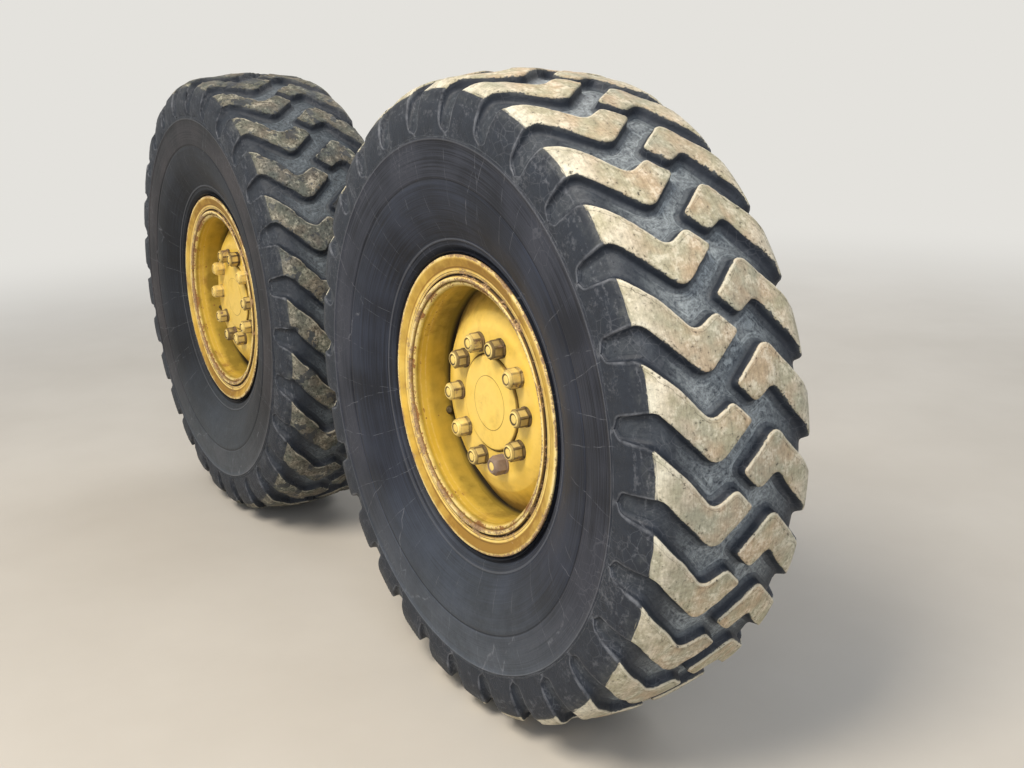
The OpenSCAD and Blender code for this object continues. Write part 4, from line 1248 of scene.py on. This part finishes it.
def carcass_mesh(name, first, segments=LUG_N * 8):
    """The tyre without its lugs: one closed turned skin from bead to bead, and its lining."""
    rows = [row for span in ROWS for row in np.arange(*span)]
    places = [np.interp(-rib[0], -wall_radii, wall_steps) for rib in RIBS]
    for at, (_, width, _, _) in zip(places, RIBS):
        rows += [at + width * share for share in (-1.7, -0.7, 0.7, 1.7)]
    rows += [*np.arange(LUG_END + 2, WALL_S, WALL_STEP), WALL_S]
    rows = np.array(sorted(rows))
    keep = [0]
    for i in range(1, len(rows)):
        if rows[i] - rows[keep[-1]] > LEAST_STEP:
            keep.append(i)
    rows = rows[keep]
    relief = -groove_depth(rows)
    for at, (_, width, height, _) in zip(places, RIBS):
        relief = relief + height * np.exp(-((rows - at) / width) ** 4)
    outer = section_at(rows) + outward_at(rows) * relief[:, None]
    # The bead and the lining count as places still further down the sidewall
    bead = np.array(BEAD[1:], float)
    half = np.concatenate([outer, bead, np.array(LINING, float)])
    across = np.concatenate([rows, WALL_S + np.arange(1, len(BEAD)) * 8, np.full(len(LINING), WALL_S + 90)])
    sunk = np.concatenate([np.where(rows < LUG_END - 1, 1.0, 0.0), np.zeros(len(bead) + len(LINING))])
    # The half section goes crown, outboard bead, lining. Its mirror image comes back to the crown.
    mirror = slice(len(half) - 2, 0, -1)
    loop = np.concatenate([half, half[mirror] * [1, -1]])
    across = np.concatenate([across, across[mirror]])
    sunk = np.concatenate([sunk, sunk[mirror]])
    angles = np.linspace(0, 2 * math.pi, segments, endpoint=False)
    radius = loop[:, 0][:, None]
    depth = np.broadcast_to((TYRE_MIDDLE - loop[:, 1] * MM)[:, None], (len(loop), segments))
    verts = np.stack([radius * np.cos(angles) * MM, depth, radius * np.sin(angles) * MM], -1)
    # How far each place of a groove's floor is from the lugs beside it, for lines that follow them
    side = np.where(loop[:, 1] < -1e-6, -1.0, 1.0)[:, None]
    forward = ((first - angles)[None, :] * TYRE_R * side) % PITCH
    over = np.broadcast_to(across[:, None], forward.shape).ravel()
    forward = forward.ravel()
    reach = np.full(len(forward), FAR_OFF)
    lug_edge = resampled(rounded(LUG_TOP, arc_step=20), lambda p: CELL)
    for i in np.nonzero(over < LUG_END - 4)[0]:
        for turn in (forward[i] - PITCH, forward[i], forward[i] + PITCH):
            near = np.hypot(lug_edge[:, 0] - turn, lug_edge[:, 1] - over[i]).min()
            other = np.hypot(lug_edge[:, 0] + turn, lug_edge[:, 1] + over[i]).min()
            reach[i] = min(reach[i], near, other)
    marks = dict(zip(("across", "sunk", "edge"), (
        np.repeat(values, segments) for values in (across * MM, sunk, across * 0))))
    faces = bands(len(loop), segments, closed=True)
    return closed_mesh(name, verts.reshape(-1, 3), faces, None, **marks, reach=reach * MM)


def lug_mesh():
    """Both halves' first lug, as closed blocks sunk a little in the carcass."""
    top = resampled(rounded(LUG_TOP, arc_step=20), lambda p: CELL if p[1] < COARSE_FROM else COARSE_CELL)
    ahead_of = np.roll(top, -1, 0) - np.roll(top, 1, 0)
    outward = np.stack([ahead_of[:, 1], -ahead_of[:, 0]], 1)
    outward /= np.linalg.norm(outward, axis=1)[:, None]
    if inside(top + outward * 0.5, top).mean() > 0.5:
        outward = -outward
    depth = groove_depth(top[:, 1])
    small = np.clip(depth / 12, 0.02, 1)
    rings, sunk, edge = [], [], []
    for out_by, down_by, share in LUG_RINGS:
        down = np.maximum(share * depth + down_by * small, 0)
        ring = top + outward * (out_by * small + LUG_DRAFT * np.minimum(down, depth))[:, None]
        rings.append(on_tyre(ring[:, 0], ring[:, 1], down))
        sunk.append(np.clip(down / np.maximum(depth, 0.5), 0, 1))
        edge.append(np.full(len(top), 1.0 if share == 0 else 0.45 if share == 0.5 else 0.0))
    lead = [outward[:, 0]] * len(LUG_RINGS)
    rim = top + outward * (LUG_RINGS[0][0] * small)[:, None]
    # Inner points of the top face: a staggered grid, with three rows at the shoulder's edge
    rows = [r for r in np.arange(-8, LUG_END - 4, ROW_STEP) if abs(r - EDGE_S) > 7]
    rows += [EDGE_S - 3.5, EDGE_S, EDGE_S + 3.5]
    grid = [(u + (CELL / 2 if j % 2 else 0), row) for j, row in enumerate(rows)
            for u in np.arange(-150, 120, CELL if row < COARSE_FROM else COARSE_CELL)]
    grid = np.array(grid)
    grid = grid[inside(grid, rim - outward * (4.0 * small)[:, None])]
    spans = np.sqrt(((grid[:, None, :] - rim[None]) ** 2).sum(-1))
    reach = spans.min(1)
    lead = np.concatenate(lead + [outward[spans.argmin(1), 0]])
    count = len(top)
    loop = list(range(count))
    flat = [Vector(p) for p in np.concatenate([rim, grid])]
    cap = delaunay_2d_cdt(flat, [], [loop], 1, 1e-6)
    place_of = [origin[0] for origin in cap[3]]
    floor_cap = delaunay_2d_cdt([Vector(p) for p in rim], [], [loop], 1, 1e-6)
    floor_of = [origin[0] for origin in floor_cap[3]]
    verts = np.concatenate(rings + [on_tyre(grid[:, 0], grid[:, 1], np.zeros(len(grid)))])
    last = count * (len(rings) - 1)
    faces = bands(len(rings), count)
    faces += [tuple(place_of[v] + (0 if place_of[v] < count else last) for v in face) for face in cap[2]]
    faces += [tuple(last + floor_of[v] for v in face) for face in floor_cap[2]]
    across = np.concatenate([np.abs(top[:, 1])] * len(rings) + [np.abs(grid[:, 1])])
    sunk = np.concatenate(sunk + [np.zeros(len(grid))])
    edge = np.concatenate(edge + [np.exp(-reach / 9)])
    # The other half's lug is the same block turned half round
    turned_verts = verts * [1, 1, -1]
    turned_verts[:, 1] = 2 * TYRE_MIDDLE - turned_verts[:, 1]
    offset = len(verts)
    faces += [tuple(v + offset for v in face) for face in faces]
    marks = {"across": across * MM, "sunk": sunk, "edge": edge, "reach": across * 0}
    return closed_mesh("lug", np.concatenate([verts, turned_verts]), faces, None,
                       **{label: np.tile(values, 2) for label, values in marks.items()},
                       lead=np.concatenate([lead, -lead]))


LUMP = 0.045
RAGGED_EDGE = 0.011
lug_tree, add, given = new_tree("rows of lugs", [
    ("Lug", "Object"), ("Lugs", "Int"), ("First angle", "Float"), ("Chewed", "Float"), ("Seed", "Float"),
    ("Rubber", "Material")])
step = add("Math DIVIDE", -2 * math.pi, given["Lugs"])
start = add("Math MULTIPLY", given["First angle"], -1.0)
angle = add("Math MULTIPLY_ADD", add("InputIndex"), step, start)
points = add("Points", given["Lugs"])
block = add("ObjectInfo", given["Lug"], out="Geometry")
turned = add("CombineXYZ", 0, angle)
copies = add("InstanceOnPoints", {"Points": points, "Instance": block, "Rotation": turned})
lugs = add("RealizeInstances", copies)
place = add("InputPosition")
edge = add("InputNamedAttribute", "edge")
sunk = add("InputNamedAttribute", "sunk")
# Torn lumps some 45 mm long, with ragged edges of 11 mm
lumps = add("TexNoise", place, given["Seed"], 1 / LUMP, 2, noise_dimensions="4D")
ragged = add("TexNoise", place, given["Seed"], 1 / RAGGED_EDGE, 3, noise_dimensions="4D")
torn = add("MapRange", lumps, 0.44, 0.72, 0.08)
rough = add("MapRange", ragged, 0.3, 0.75)
amount = add("Math MULTIPLY", torn, rough)
# Stones tear the tread's middle most, and the edges of the lugs everywhere
over = add("InputNamedAttribute", "across")
middle = add("MapRange", over, 0.04, 0.14, 0.7, 0.0)
open_top = add("MapRange", sunk, 0.0, 0.4, 1.0, 0.0)
middle = add("Math MULTIPLY", middle, open_top)
weak = add("Math MAXIMUM", edge, middle)
amount = add("Math MULTIPLY", add("Math MULTIPLY", amount, weak), given["Chewed"])
inward = add("Math MULTIPLY", amount, -1.0)
shift = add("VectorMath SCALE", add("InputNormal"), inward)
lugs = add("SetPosition", {"Geometry": lugs, "Offset": shift})
whole = add("JoinGeometry", lugs)
lug_tree.links.new(given["Geometry"], whole.node.inputs[0])
# The place seen from the axle, for patterns that run round the wheel or along its spokes
parts = add("SeparateXYZ", place).node
spoke = add("CombineXYZ", parts.outputs[0], 0, parts.outputs[2])
whole = add("StoreNamedAttribute", {"Geometry": whole, "Name": "spoke", "Value": spoke},
            data_type="FLOAT_VECTOR")
close_tree(add, whole, given["Rubber"])

# Weathered tread rubber: natural rubber and carbon black, moulded, IOR 1.52 and matt. The lugs'
# tops are scoured to a pale tan with dark nicks, the grooves hold blue-grey dust in lines that
# follow the lugs, and the sidewall is crazed by fine pale cracks.
# Sizes of its patterns in metres
BLOOM_SIZE = 0.16
BLOT = 0.03
RUBBER_GRAIN = 0.008
SCRATCH_W = 0.003
SCRATCHES_ROUND = 15.0
TORN_PATCH = 0.055
HUE_PATCH = 0.05
FLOW_SIZE = 0.06
LINE_GAP = 0.004
RING_GAP = 0.006
NET_CELL = 0.024
CHARCOAL = ("#181c24", "#2c333e")
SHOULDER_DUST_AND_SHEEN = "#62645f"
SIDE_DUST_AND_BOUNCE = "#6b757f"
TOP_WASH_AND_SHEEN = "#dedecd"
PALE_CRACK_AND_HIGHLIGHT = "#80838a"
SCUFF_AND_HIGHLIGHT = "#dcd5c1"
NICK = "#35322d"
MOSSY = "#eef3ef"
FLESHY = "#fcefe6"
VEIN = "#30353b"


def tread_rubber(name, tan, floor_dust, side_tones, bloom, wash_and_sheen, patchy, bite, pitted, scuffs_and_highlight,
                 relief):
    """wash, patchy, bite, pitted and scuffs_and_highlight are how much there is of each, from 0 to 1.
    relief is the depth of the finest wear in mm."""
    material, add = new_material(name)
    place = add("TexCoord", out=3)
    across, sunk, edge, reach, lead = (
        add("Attribute", out=2, attribute_name=label)
        for label in ("across", "sunk", "edge", "reach", "lead"))
    spoke = add("Attribute", out=1, attribute_name="spoke")
    radius = add("VectorMath LENGTH", spoke)
    turn = add("SeparateXYZ", add("VectorMath NORMALIZE", spoke)).node
    depth = add("SeparateXYZ", place, out=1)
    wide = add("TexNoise", place, 1 / BLOOM_SIZE, 2)
    middle = add("TexNoise", place, 1 / BLOT, 4, 0.6)
    fine = add("TexNoise", place, 1 / RUBBER_GRAIN, 5, 0.72)
    # Scratches run round the tread: 50 mm long and 3 mm wide
    round_1 = add("Math MULTIPLY", turn.outputs[0], SCRATCHES_ROUND)
    round_2 = add("Math MULTIPLY", turn.outputs[2], SCRATCHES_ROUND)
    over = add("Math MULTIPLY", depth, 1 / SCRATCH_W)
    scratch = add("TexNoise", add("CombineXYZ", round_1, over, round_2), 1.0, 3)

    # Where the scoured top is: above the sides, short of the torn edges and of the shoulder
    ragged = add("Math ADD", fine, middle)
    torn_depth = add("MapRange", lead, -0.4, 0.6, 0.12, bite)
    torn = add("MapRange", ragged, 0.96, 1.22, 0.0, torn_depth)
    level = add("Math MULTIPLY_ADD", torn, edge, sunk)
    patches = add("TexNoise", place, 1 / TORN_PATCH, 4, 0.65)
    missing = add("MapRange", patches, 0.53, 0.58, 0.0, patchy)
    level = add("Math ADD", level, missing)
    top = add("MapRange", level, 0.13, 0.2, 1.0, 0.0)
    limit = add("Math MULTIPLY_ADD", fine, 0.008, add("Math MULTIPLY_ADD", scratch, 0.016, across))
    inner = add("MapRange", limit, 0.2085, 0.2115, 1.0, 0.0)
    top = add("Math MULTIPLY", top, inner)
    tone = add("MapRange", middle, 0.32, 0.68)
    scoured = add("Mix RGBA", tone, tan[0], tan[1])
    grey_share = add("MapRange", wide, 0.45, 0.65, 0.0, 0.6)
    scoured = add("Mix RGBA", grey_share, scoured, tan[2])
    hue = add("MapRange", add("TexNoise", place, 1 / HUE_PATCH, 2, 0.5), 0.38, 0.62)
    tint = add("Mix RGBA", hue, MOSSY, FLESHY)
    scoured = add("Mix RGBA", 1.0, scoured, tint, blend_type="MULTIPLY")
    # A whitish wash towards the shoulder, which is dust and painted sheen, and pits
    wash_and_sheen_share = add("Math MULTIPLY", add("MapRange", across, 0.11, 0.2, 0.0, wash_and_sheen), hue)
    scoured = add("Mix RGBA", wash_and_sheen_share, scoured, TOP_WASH_AND_SHEEN)
    grain = add("MapRange", fine, 0.32, 0.68, 0.78, 1.14)
    pits = add("MapRange", fine, 0.38, 0.48, pitted)
    grain = add("Math MULTIPLY", grain, pits)
    lines = add("MapRange", scratch, 0.32, 0.68, 0.86, 1.08)
    grain = add("Math MULTIPLY", grain, lines)
    scoured = add("VectorMath SCALE", scoured, grain)
    scuffed = add("MapRange", add("Math ADD", middle, fine), 1.06, 1.22, 0.0, scuffs_and_highlight)
    scoured = add("Mix RGBA", scuffed, scoured, SCUFF_AND_HIGHLIGHT)
    nicked = add("MapRange", add("Math MULTIPLY_ADD", edge, -0.06, fine), 0.35, 0.3, 0.0, 0.75)
    # The edges that face up get a pale line of painted highlight, with a fine crack just inside it
    upward = add("MapRange", lead, -0.1, -0.6)
    painted_edge_highlight = add("Math MULTIPLY", add("MapRange", edge, 0.88, 1.0, 0.0, scuffs_and_highlight), upward)
    scoured = add("Mix RGBA", painted_edge_highlight, scoured, SCUFF_AND_HIGHLIGHT)
    lip = add("Math COMPARE", add("Math MULTIPLY_ADD", middle, 0.5, edge), 0.8, 0.02)
    lip = add("Math MULTIPLY", lip, upward)
    nicked = add("Math MAXIMUM", nicked, add("Math MULTIPLY", lip, 0.55))
    scoured = add("Mix RGBA", nicked, scoured, NICK)

    # The lugs' sides, and the groove floors with the lines that follow the lugs
    wall = add("Mix RGBA", middle, CHARCOAL[0], CHARCOAL[1])
    contour = add("Math MULTIPLY", reach, 1 / LINE_GAP)
    flow = add("TexNoise", add("VectorMath SCALE", place, 1 / FLOW_SIZE), contour, 1.0, 5, 0.68,
               noise_dimensions="4D")
    dust_tone = add("MapRange", add("Math ADD", flow, fine), 0.78, 1.22)
    # Near the foot of the lugs' walls the floor is darker: painted shade.
    foot = add("MapRange", reach, 0.004, 0.018, 0.35)
    dust_tone = add("Math MULTIPLY", dust_tone, foot)
    dust = add("Mix RGBA", dust_tone, floor_dust[0], floor_dust[1])
    # Fine dark cracks in the floor, which run along the lugs
    vein = add("Math MULTIPLY", add("Math COMPARE", flow, 0.5, 0.006), 0.7)
    dust = add("Mix RGBA", vein, dust, VEIN)
    is_floor = add("MapRange", sunk, 0.72)
    dusty = add("MapRange", across, 0.08, 0.15, 0.95, 0.1)
    is_floor = add("Math MULTIPLY", is_floor, dusty)
    tread = add("Mix RGBA", is_floor, wall, dust)
    # The shoulder's face: grey dust and painted sheen that fade down from the top, and at its edges a pale
    # line that is painted highlight and scratches
    faded = add("Math MULTIPLY", add("MapRange", across, 0.198, 0.232, 0.5, 0.0), tone)
    open_face = add("MapRange", sunk, 0.15, 0.45, 1.0, 0.0)
    faded = add("Math MULTIPLY", faded, open_face)
    scraped = add("MapRange", ragged, 0.85, 1.2)
    faded = add("Math MULTIPLY", faded, scraped)
    tread = add("Mix RGBA", faded, tread, SHOULDER_DUST_AND_SHEEN)
    on_shoulder = add("MapRange", across, 0.19, 0.21)
    rubbed = add("Math MULTIPLY", add("MapRange", edge, 0.72, 0.98, 0.0, 0.55), on_shoulder)
    rubbed = add("Math MULTIPLY", rubbed, tone)
    scored = add("MapRange", add("Math ADD", scratch, fine), 1.08, 1.25, 0.0, 0.26)
    scored = add("Math MULTIPLY", scored, on_shoulder)
    rubbed = add("Math MAXIMUM", rubbed, scored)
    tread = add("Mix RGBA", rubbed, tread, PALE_CRACK_AND_HIGHLIGHT)

    # The sidewall: charcoal with rings of slightly different tone, a brown bloom between the
    # two upper rings, and the rings themselves
    rings = add("TexNoise", add("CombineXYZ", turn.outputs[0], 0, turn.outputs[2]),
                add("Math MULTIPLY", radius, 1 / RING_GAP), 2.2, 3, noise_dimensions="4D")
    side_tone = add("MapRange", add("Math ADD", rings, wide), 0.82, 1.2)
    side = add("Mix RGBA", side_tone, side_tones[0], side_tones[1])
    bloom_share = add("Math MULTIPLY", add("MapRange", radius, 0.512, 0.518, 0.0, 0.75), side_tone)
    side = add("Mix RGBA", bloom_share, side, bloom)
    # The part that stands lowest is paler: splashed dust that has dried there, and painted light thrown up
    # from the floor
    low = add("Math MULTIPLY", add("SeparateXYZ", place, out=2), -1.0)
    splashed_dust_and_bounce = add("MapRange", low, 0.28, 0.64, 0.0, 0.34)
    splashed_dust_and_bounce = add("Math MULTIPLY", splashed_dust_and_bounce, add("Math ADD", fine, middle))
    side = add("Mix RGBA", splashed_dust_and_bounce, side, SIDE_DUST_AND_BOUNCE)
    # Rubbed rings go pale. Rings with a negative share are painted dark, as painted shade in their hollow.
    for ring, width, height, pale in RIBS:
        on_ring = add("Math COMPARE", radius, ring * MM, width * 0.9 * MM)
        on_ring = add("Math MULTIPLY", on_ring, abs(pale))
        side = add("Mix RGBA", on_ring, side, PALE_CRACK_AND_HIGHLIGHT if pale > 0 else side_tones[0])
    is_side = add("MapRange", across, 0.302, 0.306)
    body = add("Mix RGBA", is_side, tread, side)

    # Pale cracks: long ones along the spokes, some 100 mm apart, and a finer net at the shoulder
    about = add("Math MULTIPLY", add("Math ARCTAN2", turn.outputs[2], turn.outputs[0]), 5.0)
    outward = add("Math MULTIPLY", radius, 1.7)
    wavy = add("TexNoise", place, 13.0, 4, out=1)
    spread = add("VectorMath MULTIPLY_ADD", wavy, (0.16, 0.16, 0.16), add("CombineXYZ", about, outward))
    long_cracks = add("TexVoronoi", spread, 1.0, feature="DISTANCE_TO_EDGE", voronoi_dimensions="2D")
    long_cracks = add("MapRange", long_cracks, 0.001, 0.008, 0.42, 0.0)
    broken = add("MapRange", middle, 0.43, 0.58)
    long_cracks = add("Math MULTIPLY", long_cracks, broken)
    on_side = add("MapRange", across, 0.285, 0.305)
    long_cracks = add("Math MULTIPLY", long_cracks, on_side)
    net_place = add("VectorMath MULTIPLY_ADD", wavy, (0.03, 0.03, 0.03), place)
    net = add("TexVoronoi", net_place, 1 / NET_CELL, feature="DISTANCE_TO_EDGE")
    net = add("MapRange", net, 0.01, 0.04, 0.15, 0.0)
    in_patches = add("MapRange", wide, 0.5, 0.6)
    net = add("Math MULTIPLY", net, in_patches)
    near_shoulder = add("MapRange", across, 0.4, 0.33)
    net = add("Math MULTIPLY", net, near_shoulder)
    cracks = add("Math MAXIMUM", long_cracks, net)
    body = add("Mix RGBA", cracks, body, PALE_CRACK_AND_HIGHLIGHT)
    colour = add("Mix RGBA", top, body, scoured)

    height = add("Math MULTIPLY_ADD", nicked, -0.6, add("Math MULTIPLY_ADD", fine, 0.6, middle))
    height = add("Math MULTIPLY_ADD", flow, is_floor, height)
    strength = add("MapRange", is_side, 0.0, 1.0, 0.9, 0.25)
    bump = add("Bump", {"Height": height, "Strength": strength, "Distance": relief * MM})
    roughness = add("MapRange", top, 0.0, 1.0, 0.58, 0.85)
    surface = add("BsdfPrincipled", {"Base Color": colour, "Roughness": roughness, "Normal": bump,
                                     "IOR": 1.52, "Specular IOR Level": 0.32})
    add("OutputMaterial", surface)
    return material


RUBBER = {
    "front": tread_rubber(
        "scoured tread rubber", tan=("#aba087", "#d1c6af", "#aeaa9b"), floor_dust=("#3c424a", "#a2aaad"),
        side_tones=("#10141e", "#282e3c"), bloom="#34363f", wash_and_sheen=0.75, patchy=0.0, bite=0.18, pitted=0.9,
        scuffs_and_highlight=0.55, relief=1.8),
    # The rear tyre stands in shade. Its darker tan, dust and sidewall tones are painted shade, over rubber
    # that is more torn.
    "rear": tread_rubber(
        "torn tread rubber", tan=("#54554f", "#858377", "#595d5f"), floor_dust=("#2f343a", "#6d767d"),
        side_tones=("#0c0f16", "#1d222b"), bloom="#373234", wash_and_sheen=0.12, patchy=0.18, bite=0.42, pitted=0.5,
        scuffs_and_highlight=0.3, relief=4.0)}
lug = new_piece("lug", lug_mesh())
for end, seed in (("front", 1.7), ("rear", 6.3)):
    tyre = grow("lugged_tyre_" + end, lug_tree, {
        "Lug": lug, "Lugs": LUG_N, "First angle": FIRST_LUG[end], "Chewed": CHEWED[end] * MM,
        "Seed": seed, "Rubber": RUBBER[end]}, carcass_mesh("carcass_" + end, FIRST_LUG[end]))
    smooth_faces(tyre, 42)
    on_wheel(tyre, end, "tyre_" + end)
bpy.data.objects.remove(lug)
